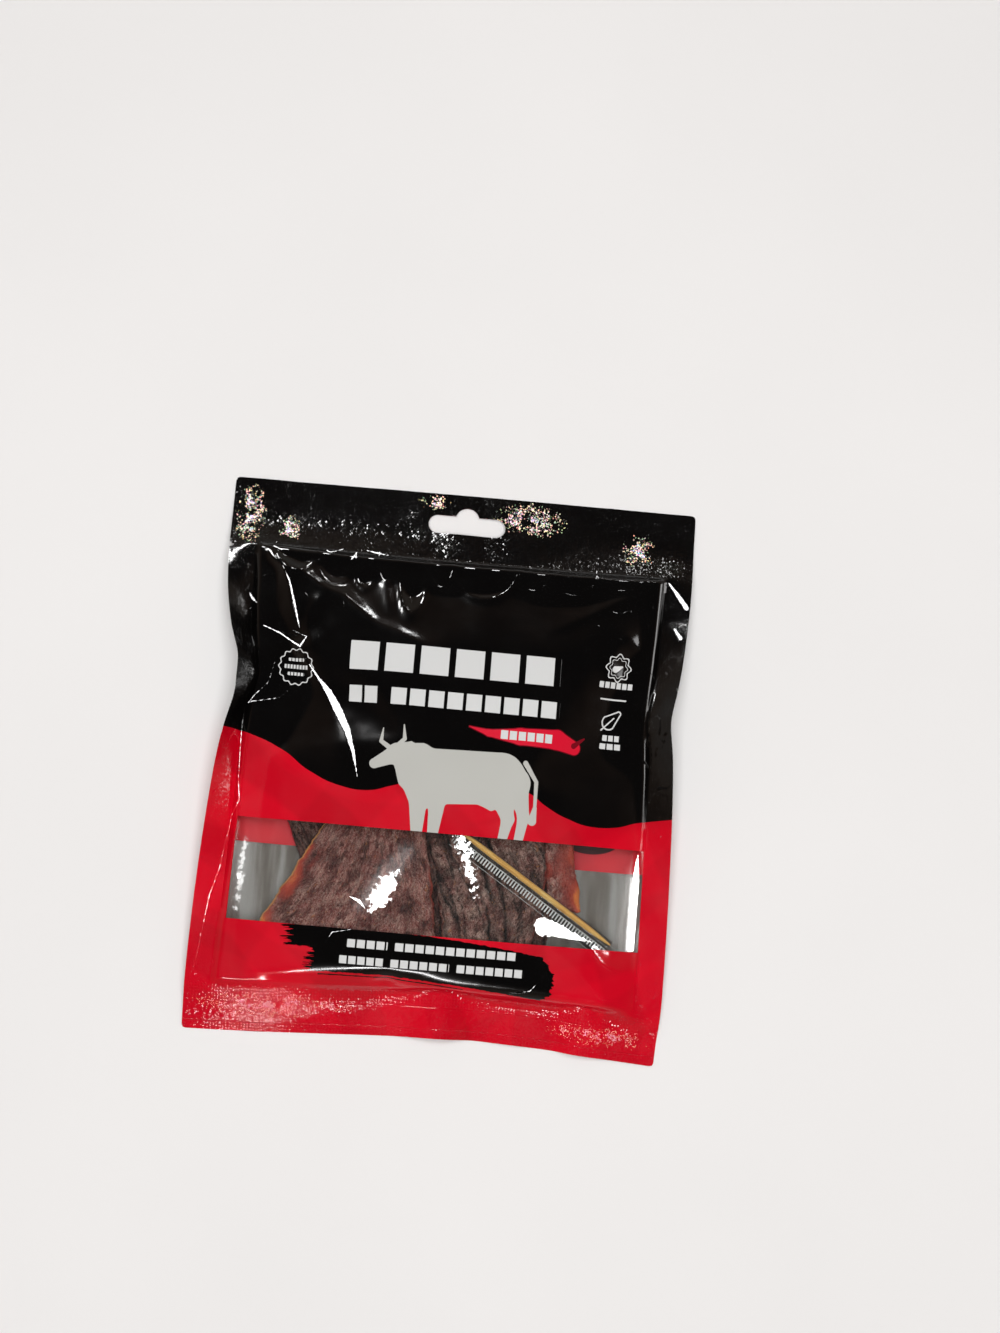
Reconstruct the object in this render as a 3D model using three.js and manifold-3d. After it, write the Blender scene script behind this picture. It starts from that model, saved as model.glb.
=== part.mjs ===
// A sealed retail pouch of dried beef, lying on its back with the printed front up.
// A clear window across the lower front, and another across the back, show flat strips
// of dried meat and a wooden toothpick in its own clear sleeve.
// Millimetres. +X runs across the pouch, +Y towards the header with the hang slot, +Z up.
// The origin is on the resting plane, under the middle of the pouch.

import * as THREE from 'three';
import { mergeVertices } from 'three/addons/utils/BufferGeometryUtils.js';
import Module from 'manifold-3d';

const wasm = await Module();
wasm.setup();

// Flat size of the pouch and of its seals
const POUCH_WIDTH = 165;
const POUCH_LENGTH = 195;
const HEADER_LENGTH = 25;
const BOTTOM_SEAL = 16.5;
const SIDE_SEAL = 9.5;
const SEAL_THICKNESS = 0.8;
const FILM_THICKNESS = 0.9;

// Heights when it lies down
const FILLED_HEIGHT = 14.5;
const SHOULDER_SHARE = 0.72;
const SEAL_HEIGHT = 4;
const EDGE_DROOP = 1.8;
const BACK_DEPTH = 9;

// How filling it draws the edges in: each pull has its place along the edge, spread and depth.
const LEFT_PULL = { at: 25, spread: 15, depth: 4.4 };
const LEFT_SLACK = { from: -95, to: 68, depth: 1.5 };
const RIGHT_PULL = { at: 22, spread: 13, depth: 2.7 };
const BOTTOM_PULLS = [{ at: 7, spread: 24, depth: 5 }, { at: 50, spread: 16, depth: 2.8 }];
const BOTTOM_CURL = { at: 7, spread: 30, depth: 1.5 };
const SIDE_WAVE = { height: 0.5, length: 94 };
const HEADER_WAVE = { height: 0.45, length: 100 };

// Rows of small puckers beside the two cross seams
const HEADER_PUCKERS = { inside: 8, spread: 7, height: 0.7, pitch: 16 };
const BOTTOM_PUCKERS = { inside: 7, spread: 5, height: 0.4, pitch: 26 };

// Share of the plumpness at which folds and puckers reach their full height
const RELIEF_ONSET = 0.45;

// Hang slot in the header, with the half-round crown of a hook hole
const SLOT = { x: 0.7, y: 85.9, length: 27.5, width: 6.8, crownRadius: 4.3, crownY: 88.1 };
const NOTCH = { y: 71, depth: 2.4, width: 3.6 };

// Windows: the front one is a little higher up than the back one
const WINDOW = { left: -70.5, right: 72, bottom: -57.5, top: -23.5 };
const BACK_WINDOW_SHIFT = -8;
const PANE_GAP = 0.3;
const FRONT_PANE_FLOOR = 4.7;
const BACK_PANE_CEILING = 2;
const CUT_MARGIN = 5;

// The room inside that the windows look into
const CHAMBER = { halfWidth: 70, bottom: -77, top: 12 };

const halfWidth = POUCH_WIDTH / 2;
const halfLength = POUCH_LENGTH / 2;
const sealX = halfWidth - SIDE_SEAL;
const sealTop = halfLength - HEADER_LENGTH;
const sealBottom = -halfLength + BOTTOM_SEAL;
const bodyMiddle = (sealTop + sealBottom) / 2;
const bodyHalf = (sealTop - sealBottom) / 2;
const cutDepth = FILLED_HEIGHT + 2 * CUT_MARGIN;

const clamp01 = (t) => Math.min(1, Math.max(0, t));
const smooth = (t) => clamp01(t) ** 2 * (3 - 2 * clamp01(t));
const bell = (t, { at, spread, depth }) => depth * Math.exp(-(((t - at) / spread) ** 2));
const lerp = (a, b, t) => a + (b - a) * t;
const wave = (t, { height, length }) => height * Math.sin((2 * Math.PI * t) / length);

// Share of the full height that the film reaches, 0 on the seals, 1 in the middle.
function plumpness(u, v) {
  const across = Math.max(0, 1 - Math.abs(u / sealX) ** 3);
  const along = Math.max(0, 1 - Math.abs((v - bodyMiddle) / bodyHalf) ** 3);
  return Math.sqrt(across * along);
}

// The meat lies in the lower half, so the pouch is fullest there.
const fullness = (v) => lerp(1, SHOULDER_SHARE, smooth(v / bodyHalf));

// Height of the seams: they hang a little towards every edge, the header most,
// and the middle of the bottom seal curls up.
function seamHeight(u, v) {
  const outX = clamp01((Math.abs(u) - sealX) / SIDE_SEAL);
  const outTop = clamp01((v - sealTop) / HEADER_LENGTH);
  const outBottom = clamp01((sealBottom - v) / BOTTOM_SEAL);
  const droop = EDGE_DROOP * Math.max(outX, outTop, outBottom);
  const curl = bell(u, BOTTOM_CURL) * outBottom;
  return SEAL_HEIGHT - droop + curl + wave(v, SIDE_WAVE) * outX + wave(u, HEADER_WAVE) * outTop;
}

// Folds of the front film: tents (or dents, with a negative rise) along straight lines.
const FOLDS = [
  { from: [-71, 70], to: [-57, 38], width: 8, rise: 1.7 },
  { from: [-68, 70], to: [-32, 44], width: 9, rise: 1.4 },
  { from: [-54, 34], to: [-31, -10], width: 14, rise: 1.2 },
  { from: [-74, 27], to: [-58, 29], width: 12, rise: -2.4 },
  { from: [-73, 9], to: [-52, 18], width: 7, rise: 1.3 },
  { from: [71, 70], to: [58, 40], width: 9, rise: 1.3 },
  { from: [74, 22], to: [60, 26], width: 10, rise: -1.5 },
  { from: [48, -57], to: [76, -79], width: 8, rise: 1.6 },
];

function foldHeight(x, y) {
  let height = 0;
  for (const { from, to, width, rise } of FOLDS) {
    const dx = to[0] - from[0];
    const dy = to[1] - from[1];
    const s = clamp01(((x - from[0]) * dx + (y - from[1]) * dy) / (dx * dx + dy * dy));
    const away = Math.hypot(x - from[0] - s * dx, y - from[1] - s * dy);
    height += rise * Math.max(0, 1 - away / width);
  }
  return height;
}

// One row of puckers, unevenly spaced, is strongest a little inside its seam.
function puckerRow(u, v, seam, { inside, spread, height, pitch }) {
  const strength = bell(v, { at: seam, spread, depth: height });
  const unevenly = u + pitch * Math.sin(u / (inside + pitch)) / 6;
  return strength * wave(unevenly, { height: 1, length: pitch });
}

const puckerHeight = (u, v) =>
  puckerRow(u, v, sealTop - HEADER_PUCKERS.inside, HEADER_PUCKERS) +
  puckerRow(u, v, sealBottom + BOTTOM_PUCKERS.inside, BOTTOM_PUCKERS);

function filmTop(u, v) {
  const plump = plumpness(u, v);
  const relief = (foldHeight(u, v) + puckerHeight(u, v)) * Math.min(1, plump / RELIEF_ONSET);
  const rise = (FILLED_HEIGHT - SEAL_HEIGHT) * plump * fullness(v);
  return seamHeight(u, v) + SEAL_THICKNESS / 2 + rise + relief;
}

// The back sinks from the seams to the resting plane and lies flat on it.
function filmBottom(u, v) {
  return Math.max(0, seamHeight(u, v) - SEAL_THICKNESS / 2 - BACK_DEPTH * plumpness(u, v));
}

// Filling the pouch draws its sides in, most at the empty shoulders above the meat,
// and draws the middle of the bottom seal up.
const PULL_RAMP = 35;
const PULL_UP_FROM = -50;
function place(u, v) {
  const side = (u / halfWidth) ** 2;
  const slack = smooth((v - LEFT_SLACK.from) / PULL_RAMP) * smooth((LEFT_SLACK.to - v) / PULL_RAMP);
  const inward = u < 0 ? bell(v, LEFT_PULL) + LEFT_SLACK.depth * slack : -bell(v, RIGHT_PULL);
  const upward = BOTTOM_PULLS.reduce((sum, pull) => sum + bell(u, pull), 0);
  const low = smooth((PULL_UP_FROM - v) / PULL_RAMP);
  return [u + side * inward, v + upward * low];
}

// A closed solid between two height fields over a grid of u and v lines.
function slab(uLines, vLines, topOf, bottomOf, placeOf) {
  const points = [];
  const faces = [];
  const rows = vLines.length;
  const layer = uLines.length * rows;
  for (const heightOf of [topOf, bottomOf]) {
    for (const u of uLines) {
      for (const v of vLines) points.push(...placeOf(u, v), heightOf(u, v));
    }
  }
  const at = (i, j, under) => i * rows + j + (under ? layer : 0);
  const quad = (a, b, c, d) => faces.push(a, b, c, a, c, d);
  const lastI = uLines.length - 1;
  const lastJ = rows - 1;
  for (let i = 0; i < lastI; i++) {
    for (let j = 0; j < lastJ; j++) {
      quad(at(i, j), at(i + 1, j), at(i + 1, j + 1), at(i, j + 1));
      quad(at(i, j, true), at(i, j + 1, true), at(i + 1, j + 1, true), at(i + 1, j, true));
    }
    quad(at(i, 0, true), at(i + 1, 0, true), at(i + 1, 0), at(i, 0));
    quad(at(i + 1, lastJ, true), at(i, lastJ, true), at(i, lastJ), at(i + 1, lastJ));
  }
  for (let j = 0; j < lastJ; j++) {
    quad(at(0, j + 1, true), at(0, j, true), at(0, j), at(0, j + 1));
    quad(at(lastI, j, true), at(lastI, j + 1, true), at(lastI, j + 1), at(lastI, j));
  }
  return new THREE.BufferGeometry()
    .setAttribute('position', new THREE.Float32BufferAttribute(points, 3))
    .setIndex(faces);
}

// Equal steps from a to b, without b itself
const steps = (a, b, count) => Array.from({ length: count }, (_, i) => lerp(a, b, i / count));

// Grid lines: coarse on the seals and the middle, close together where the film rises.
function pouchLines() {
  const u = [
    ...steps(-halfWidth, -sealX, 2), ...steps(-sealX, -sealX + 9, 4),
    ...steps(-sealX + 9, sealX - 9, 24), ...steps(sealX - 9, sealX, 4),
    ...steps(sealX, halfWidth, 2), halfWidth,
  ];
  const v = [
    ...steps(-halfLength, sealBottom, 3), ...steps(sealBottom, sealBottom + 9, 4),
    ...steps(sealBottom + 9, sealTop - 10, 24), ...steps(sealTop - 10, sealTop, 4),
    ...steps(sealTop, halfLength, 5), halfLength,
  ];
  return { u, v };
}

// A closed mesh as a solid that can be cut and joined, and back again
function toSolid(geometry) {
  const bare = geometry.clone();
  bare.deleteAttribute('normal');
  bare.deleteAttribute('uv');
  const merged = mergeVertices(bare, 1e-4);
  return new wasm.Manifold(new wasm.Mesh({
    numProp: 3,
    vertProperties: new Float32Array(merged.attributes.position.array),
    triVerts: new Uint32Array(merged.index.array),
  }));
}

function toGeometry(solid) {
  const mesh = solid.getMesh();
  const geometry = new THREE.BufferGeometry()
    .setAttribute('position', new THREE.BufferAttribute(new Float32Array(mesh.vertProperties), 3))
    .setIndex(new THREE.BufferAttribute(new Uint32Array(mesh.triVerts), 1));
  geometry.computeVertexNormals();
  return geometry;
}

function boxSolid(low, high) {
  const size = high.map((value, i) => value - low[i]);
  const box = new THREE.BoxGeometry(...size);
  return toSolid(box.translate(...low.map((value, i) => value + size[i] / 2)));
}

// The slot's outline, pushed through the whole height of the header
function slotSolid() {
  const end = SLOT.width / 2;
  const reach = SLOT.length / 2 - end;
  const outline = new THREE.Shape();
  outline.moveTo(SLOT.x - reach, SLOT.y - end);
  outline.lineTo(SLOT.x + reach, SLOT.y - end);
  outline.absarc(SLOT.x + reach, SLOT.y, end, -Math.PI / 2, Math.PI / 2, false);
  const shoulder = Math.asin((SLOT.y + end - SLOT.crownY) / SLOT.crownRadius);
  outline.absarc(SLOT.x, SLOT.crownY, SLOT.crownRadius, shoulder, Math.PI - shoulder, false);
  outline.lineTo(SLOT.x - reach, SLOT.y + end);
  outline.absarc(SLOT.x - reach, SLOT.y, end, Math.PI / 2, Math.PI * 1.5, false);
  const cut = { depth: cutDepth, bevelEnabled: false, curveSegments: 6 };
  const prism = new THREE.ExtrudeGeometry(outline, cut);
  return toSolid(prism.translate(0, 0, -CUT_MARGIN));
}

// The tear notch, a small V in the left edge just under the header
function notchSolid() {
  const outline = new THREE.Shape();
  outline.moveTo(-halfWidth - 1, NOTCH.y - NOTCH.width / 2);
  outline.lineTo(-halfWidth + NOTCH.depth, NOTCH.y);
  outline.lineTo(-halfWidth - 1, NOTCH.y + NOTCH.width / 2);
  const prism = new THREE.ExtrudeGeometry(outline, { depth: cutDepth, bevelEnabled: false });
  return toSolid(prism.translate(0, 0, -CUT_MARGIN));
}

// The free room between the front and back film behind the windows
function chamberSolid() {
  const u = [...steps(-CHAMBER.halfWidth, CHAMBER.halfWidth, 22), CHAMBER.halfWidth];
  const v = [...steps(CHAMBER.bottom, CHAMBER.top, 14), CHAMBER.top];
  const ceiling = (a, b) => filmTop(a, b) - FILM_THICKNESS;
  const floor = (a, b) => filmBottom(a, b) + FILM_THICKNESS;
  return toSolid(slab(u, v, ceiling, floor, place));
}

// A window's block: the film inside it becomes the clear pane, and inset leaves the gap round it.
function windowBlock(shift, inset, low, high) {
  return boxSolid(
    [WINDOW.left + inset, WINDOW.bottom + shift + inset, low],
    [WINDOW.right - inset, WINDOW.top + shift - inset, high],
  );
}

function pouchAndPanes() {
  const lines = pouchLines();
  const outside = toSolid(slab(lines.u, lines.v, filmTop, filmBottom, place));
  const bag = outside.subtract(chamberSolid()).subtract(slotSolid()).subtract(notchSolid());
  const above = FILLED_HEIGHT + CUT_MARGIN;
  const below = -CUT_MARGIN;
  const front = bag.intersect(windowBlock(0, PANE_GAP, FRONT_PANE_FLOOR + PANE_GAP, above));
  const back = bag.intersect(
    windowBlock(BACK_WINDOW_SHIFT, PANE_GAP, below, BACK_PANE_CEILING - PANE_GAP),
  );
  const printed = bag
    .subtract(windowBlock(0, 0, FRONT_PANE_FLOOR, above))
    .subtract(windowBlock(BACK_WINDOW_SHIFT, 0, below, BACK_PANE_CEILING));
  return { printed: toGeometry(printed), front: toGeometry(front), back: toGeometry(back) };
}

// Room for the meat at a point: two layers take a share of it each, the toothpick lies on top.
const MEAT_FLOOR = FILM_THICKNESS + 0.3;
const MEAT_GAP = 0.35;
const LAYER_SHARE = 0.25;
const LAYER_WAVE = { height: 0.35, length: 60 };
const roomAt = (x, y) => filmTop(x, y) - foldHeight(x, y) - FILM_THICKNESS - MEAT_FLOOR;
const lowerTop = (x, y) => MEAT_FLOOR + LAYER_SHARE * roomAt(x, y) + wave(x + y, LAYER_WAVE);
const upperFloor = (x, y) => lowerTop(x, y) + MEAT_GAP;
const LAYERS = {
  lower: { floor: () => MEAT_FLOOR, ceiling: lowerTop },
  upper: { floor: upperFloor, ceiling: (x, y) => upperFloor(x, y) + LAYER_SHARE * roomAt(x, y) },
};

// Strips of dried beef: four corners seen from above, how far the right edge bows out, and
// the layer they lie in. Corners run bottom left, bottom right, top right, top left.
const STRIPS = [
  {
    name: 'jerky_strip_left', layer: 'upper', seed: 1, bow: 0,
    corners: [[-62, -66], [3, -68], [-8, -3], [-30, -5]],
  },
  {
    name: 'jerky_strip_middle', layer: 'upper', seed: 2, bow: 8,
    corners: [[7, -68], [33, -66], [28, -1], [-4, -3]],
  },
  {
    name: 'jerky_strip_right', layer: 'upper', seed: 3, bow: 1,
    corners: [[43, -45], [51, -47], [52, -4], [37, -4]],
  },
  {
    name: 'jerky_strip_back_left', layer: 'lower', seed: 4, bow: 0,
    corners: [[-38, -62], [-8, -60], [-12, 4], [-48, 2]],
  },
  {
    name: 'jerky_strip_back_middle', layer: 'lower', seed: 5, bow: 2,
    corners: [[-3, -64], [38, -62], [30, 0], [-7, 2]],
  },
];
const STRIP_STEPS = 10;
const EDGE_WOBBLE = 0.55;
const EDGE_SHARE = 0.35;
const GRAIN = { relief: 0.16, ridges: 5, waver: 0.5 };

function stripGeometry({ corners: [a, b, c, d], layer, seed, bow }) {
  const { floor, ceiling } = LAYERS[layer];
  const wobble = (t, side) => EDGE_WOBBLE * Math.sin(7.3 * t + 2.1 * seed + 4 * side);
  const placeStrip = (s, t) => {
    const left = [lerp(a[0], d[0], t), lerp(a[1], d[1], t)];
    const right = [lerp(b[0], c[0], t) + bow * Math.sin(Math.PI * t), lerp(b[1], c[1], t)];
    const x = lerp(left[0] + wobble(t, 0), right[0] + wobble(t, 1), s);
    const y = lerp(left[1], right[1], s) + (2 * t - 1) * wobble(s, 2);
    return [x, y];
  };
  const rim = (s) => Math.sqrt(Math.max(0, 1 - Math.abs(2 * s - 1) ** 7));
  const grain = (s, t) => {
    const turns = GRAIN.ridges * s + GRAIN.waver * Math.sin(4 * t + seed);
    return GRAIN.relief * (Math.sin(2 * Math.PI * turns) - 1);
  };
  const halfway = ([x, y]) => (floor(x, y) + ceiling(x, y)) / 2;
  const halfThick = ([x, y], s, t) =>
    ((ceiling(x, y) - floor(x, y)) / 2) * lerp(EDGE_SHARE, 1, rim(s) * rim(t));
  const topOf = (s, t) => halfway(placeStrip(s, t)) + halfThick(placeStrip(s, t), s, t) + grain(s, t);
  const bottomOf = (s, t) => halfway(placeStrip(s, t)) - halfThick(placeStrip(s, t), s, t);
  const lines = [...steps(0, 1, STRIP_STEPS), 1];
  return slab(lines, lines, topOf, bottomOf, placeStrip);
}

// The toothpick, pointed at both ends, lies across the middle and right strips.
const TOOTHPICK = { length: 65, radius: 1, point: 9, tip: 0.25 };
const PICK_START = new THREE.Vector3(7.2, -22.8, 10.9);
const PICK_HEADING = new THREE.Vector3(55, -34.5, -3).normalize();
const pickEnd = TOOTHPICK.length / 2;

function toothpickGeometry() {
  const { radius, point, tip } = TOOTHPICK;
  const half = [[0, pickEnd], [tip, pickEnd], [radius, pickEnd - point]];
  const profile = [...half.map(([r, y]) => [r, -y]), ...half.reverse()];
  return new THREE.LatheGeometry(profile.map(([r, y]) => new THREE.Vector2(r, y)), 10);
}

// Its sleeve, a narrow strip of film with a ribbed seam, runs under it and to its lower left.
const SLEEVE = { width: 8.5, thickness: 0.3, offset: 1.9, ribs: 24, ribDepth: 0.3, gap: 0.25 };

function sleeveGeometry() {
  const left = SLEEVE.offset - SLEEVE.width / 2;
  const right = SLEEVE.offset + SLEEVE.width / 2;
  const along = (rib) => lerp(-pickEnd, pickEnd, rib / SLEEVE.ribs);
  const shape = new THREE.Shape();
  shape.moveTo(left, along(0));
  shape.lineTo(right, along(0));
  for (let rib = 0; rib < SLEEVE.ribs; rib++) {
    shape.lineTo(right + SLEEVE.ribDepth, along(rib + 0.5));
    shape.lineTo(right, along(rib + 1));
  }
  shape.lineTo(left, along(SLEEVE.ribs));
  return new THREE.ExtrudeGeometry(shape, { depth: SLEEVE.thickness, bevelEnabled: false })
    .translate(0, 0, -TOOTHPICK.radius - SLEEVE.gap - SLEEVE.thickness);
}

// A group whose +Y runs along the toothpick, for it and its sleeve
function pickGroup() {
  const group = new THREE.Group();
  const across = new THREE.Vector3().crossVectors(PICK_HEADING, new THREE.Vector3(0, 0, 1)).normalize();
  const up = new THREE.Vector3().crossVectors(across, PICK_HEADING);
  group.setRotationFromMatrix(new THREE.Matrix4().makeBasis(across, PICK_HEADING, up));
  group.position.copy(PICK_START).addScaledVector(PICK_HEADING, pickEnd);
  return group;
}

// Materials
const blackFilm = new THREE.MeshStandardMaterial({ color: 0x0b0a0a, roughness: 0.16, metalness: 0 });
const clearFilm = new THREE.MeshStandardMaterial({
  color: 0xd8dcda, roughness: 0.08, metalness: 0, transparent: true, opacity: 0.3,
});
const driedBeef = new THREE.MeshStandardMaterial({ color: 0x4a2622, roughness: 0.55, metalness: 0 });
const birchWood = new THREE.MeshStandardMaterial({ color: 0xd6a858, roughness: 0.5, metalness: 0 });

function named(name, geometry, material) {
  const mesh = new THREE.Mesh(geometry, material);
  mesh.name = name;
  return mesh;
}

const pack = new THREE.Group();
const film = pouchAndPanes();
pack.add(named('pouch', film.printed, blackFilm));
pack.add(named('window_front', film.front, clearFilm));
pack.add(named('window_back', film.back, clearFilm));
for (const strip of STRIPS) {
  pack.add(named(strip.name, stripGeometry(strip), driedBeef));
}
const pick = pickGroup();
pick.add(named('toothpick', toothpickGeometry(), birchWood));
pick.add(named('toothpick_sleeve', sleeveGeometry(), clearFilm));
pack.add(pick);

export default pack;
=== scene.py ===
# %% [markdown]
# # A sealed pouch of dried beef strips
#
# The object is a flat retail pouch that lies on its back. Its film is printed black above a
# wave and red below it. A clear band across the lower front shows flat strips of dried beef
# and a wooden toothpick in a small sleeve of its own. This notebook makes the looks of the
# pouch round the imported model, piece by piece: the film, the print on it, its clear panes,
# the strips, the toothpick, and at last the floor, the lights and the camera.

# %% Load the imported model
import math

import bpy
from mathutils import Matrix, Vector, noise
from mathutils.bvhtree import BVHTree


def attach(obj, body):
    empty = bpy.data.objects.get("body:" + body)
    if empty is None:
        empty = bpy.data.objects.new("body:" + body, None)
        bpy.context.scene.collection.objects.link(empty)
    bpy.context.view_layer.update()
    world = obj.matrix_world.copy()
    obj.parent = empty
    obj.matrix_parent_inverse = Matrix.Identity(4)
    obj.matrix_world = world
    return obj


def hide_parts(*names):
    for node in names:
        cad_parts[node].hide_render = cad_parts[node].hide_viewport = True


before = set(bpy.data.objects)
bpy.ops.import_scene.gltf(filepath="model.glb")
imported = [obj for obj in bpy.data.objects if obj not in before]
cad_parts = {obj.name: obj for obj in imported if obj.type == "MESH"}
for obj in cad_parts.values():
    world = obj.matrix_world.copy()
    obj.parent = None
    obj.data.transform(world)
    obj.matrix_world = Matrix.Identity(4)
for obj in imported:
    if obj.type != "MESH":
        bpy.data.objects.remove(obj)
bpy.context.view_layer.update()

MM = 0.001
TURN = 2 * math.pi
NEAR = 0.01 * MM

# %% [markdown]
# ## How an operator knows what to work on
#
# Blender's operators act on whatever is selected, and loading the model leaves its nodes
# selected. So before each operator everything is deselected and one object is made active.
# In edit mode the same holds for faces: they are chosen in code, by their place, and the
# operator then works on them alone.


# %% Choose an object, or some of its faces
def only(obj):
    """Leave one object selected and active."""
    bpy.ops.object.select_all(action="DESELECT")
    obj.select_set(True)
    bpy.context.view_layer.objects.active = obj


def choose_faces(obj, wanted):
    """Open edit mode with just the faces for which wanted(face) is true."""
    only(obj)
    bpy.ops.object.mode_set(mode="EDIT")
    bpy.ops.mesh.select_mode(type="FACE")
    bpy.ops.mesh.select_all(action="DESELECT")
    bpy.ops.object.mode_set(mode="OBJECT")
    for face in obj.data.polygons:
        face.select = wanted(face)
    bpy.ops.object.mode_set(mode="EDIT")


def apply_modifier(obj, kind, **settings):
    """Add a modifier, set it and apply it."""
    only(obj)
    modifier = obj.modifiers.new(kind.title(), kind)
    for name, value in settings.items():
        setattr(modifier, name, value)
    bpy.ops.object.modifier_apply(modifier=modifier.name)


def new_piece(add, name, **settings):
    """Add a simple mesh while nothing else is selected, and name it."""
    bpy.ops.object.select_all(action="DESELECT")
    add(**settings)
    piece = bpy.context.object
    piece.name = name
    return piece


def edit_all(obj):
    """Open edit mode with the whole mesh selected."""
    only(obj)
    bpy.ops.object.mode_set(mode="EDIT")
    bpy.ops.mesh.select_all(action="SELECT")


def object_mode():
    bpy.ops.object.mode_set(mode="OBJECT")


def merge_points(obj, reach):
    """Merge points that are nearer to each other than reach."""
    edit_all(obj)
    bpy.ops.mesh.remove_doubles(threshold=reach)
    object_mode()


def drop_uv_maps(obj):
    while obj.data.uv_layers:
        obj.data.uv_layers.remove(obj.data.uv_layers[0])



print("ready to model")

# %% [markdown]
# ## The film's flat pattern
#
# A real pouch starts as two flat webs of printed film, welded together along four seams and
# then cut apart. The same is done here: a grid is cut to the pouch's flat size, and its lines
# are moved so that some of them run exactly along the seams and round the windows. A plain
# grid with even lines would leave the seams jagged, and a sculpted pillow would never get
# the small folds that flat film takes when it is filled.

# %% Lines of the pattern
POUCH_WIDTH = 165 * MM
POUCH_LENGTH = 195 * MM
SIDE_SEAM = 73 * MM
FOOT_SEAM = -81 * MM
HEAD_SEAM = 72.5 * MM
CELL = 2.2 * MM

WINDOW_LEFT = -70.4 * MM
WINDOW_RIGHT = SIDE_SEAM
FRONT_WINDOW = (-59.0 * MM, -24.3 * MM)
BACK_WINDOW = (-67.0 * MM, -32.3 * MM)
PUCKER_ROWS = 55 * MM


def cell_lines(stops):
    """Lines from stop to stop, each (place, cell size up to the next stop)."""
    lines = []
    for (low, cell), (high, _) in zip(stops, stops[1:]):
        count = max(1, round((high - low) / cell))
        lines += [low + (high - low) * n / count for n in range(count)]
    return lines + [stops[-1][0]]


half_width, half_length = POUCH_WIDTH / 2, POUCH_LENGTH / 2
x_lines = cell_lines(
    [(x, CELL) for x in (-half_width, -SIDE_SEAM, WINDOW_LEFT, SIDE_SEAM, half_width)]
)
y_stops = sorted(
    [-half_length, FOOT_SEAM, *BACK_WINDOW, *FRONT_WINDOW, PUCKER_ROWS, HEAD_SEAM, half_length]
)
y_lines = cell_lines([(y, CELL / 2 if y == PUCKER_ROWS else CELL) for y in y_stops])
print("film grid", len(x_lines), "by", len(y_lines), "lines")

# %% Cut the front web
FLAT_HEIGHT = 4.5 * MM
columns, rows = len(x_lines) - 1, len(y_lines) - 1
film = new_piece(
    bpy.ops.mesh.primitive_grid_add, "film_sheet", x_subdivisions=columns,
    y_subdivisions=rows, size=1,
)
for point in film.data.vertices:
    column, row = round((point.co.x + 0.5) * columns), round((point.co.y + 0.5) * rows)
    point.co = (x_lines[column], y_lines[row], FLAT_HEIGHT)
print("front web:", len(film.data.polygons), "cells")

# %% [markdown]
# The print has to stay in place on the film, however the film folds. So the flat pattern is
# stored as a UV map now, while the film is still flat: one unit of the map is 200 mm, and
# its middle is the pouch's middle. Every later pattern reads this map.

# %% Store the flat pattern as a UV map
CHART = 200 * MM
drop_uv_maps(film)
chart = film.data.uv_layers.new(name="flat")
for loop, place in zip(film.data.loops, chart.data):
    at = film.data.vertices[loop.vertex_index].co
    place.uv = (at.x / CHART + 0.5, at.y / CHART + 0.5)
print("UV maps:", [layer.name for layer in film.data.uv_layers])

# %% [markdown]
# ## The back web
#
# The back is the same film, so it is a copy of the cells inside the seams, turned over. The
# two webs share the seam's points, which is what a weld does. The four parts of the sheet,
# printed and clear, front and back, are told apart by their material slots.

# %% Material slots of the sheet
FRONT_PRINT, FRONT_CLEAR, BACK_PRINT, BACK_CLEAR = range(4)
front_ink = bpy.data.materials.new("printed_film_front")
back_ink = bpy.data.materials.new("printed_film_back")
inner_ink = bpy.data.materials.new("printed_film_inside")
clear_film = bpy.data.materials.new("clear_laminate")
back_clear_film = bpy.data.materials.new("clear_laminate_back")
for material in (front_ink, clear_film, back_ink, back_clear_film):
    film.data.materials.append(material)


def inside_seams(at):
    return abs(at.x) < SIDE_SEAM and FOOT_SEAM < at.y < HEAD_SEAM


def in_window(at, window):
    return WINDOW_LEFT < at.x < WINDOW_RIGHT and window[0] < at.y < window[1]


choose_faces(film, lambda face: inside_seams(face.center))
bpy.ops.mesh.duplicate()
bpy.ops.mesh.flip_normals()
object_mode()
for face in film.data.polygons:
    if face.select:
        face.material_index = BACK_CLEAR if in_window(face.center, BACK_WINDOW) else BACK_PRINT
    else:
        face.material_index = FRONT_CLEAR if in_window(face.center, FRONT_WINDOW) else FRONT_PRINT
print("with the back web:", len(film.data.polygons), "cells")

# %% [markdown]
# Two webs that lie exactly on each other can't be blown up, because nothing says which one
# goes up. So they start a little apart, most in the middle, and each has a slight smooth
# waviness. Real film is never quite flat, and from that its folds start. Then the two webs
# are merged where they meet, along the seams.

# %% Part the webs and weld the seams
START_GAP = 1.5 * MM
WAVINESS = 0.6 * MM
WAVE_SIZE = 20 * MM
WEB_NOISE = 3.7
seam_middle = (HEAD_SEAM + FOOT_SEAM) / 2
seam_half = (HEAD_SEAM - FOOT_SEAM) / 2


def fullness(x, y):
    """0 on the seams, 1 in the middle of the chamber."""
    across = 1 - (x / SIDE_SEAM) ** 2
    along = 1 - ((y - seam_middle) / seam_half) ** 2
    return math.sqrt(max(0, across) * max(0, along)) if across > 0 and along > 0 else 0


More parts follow.
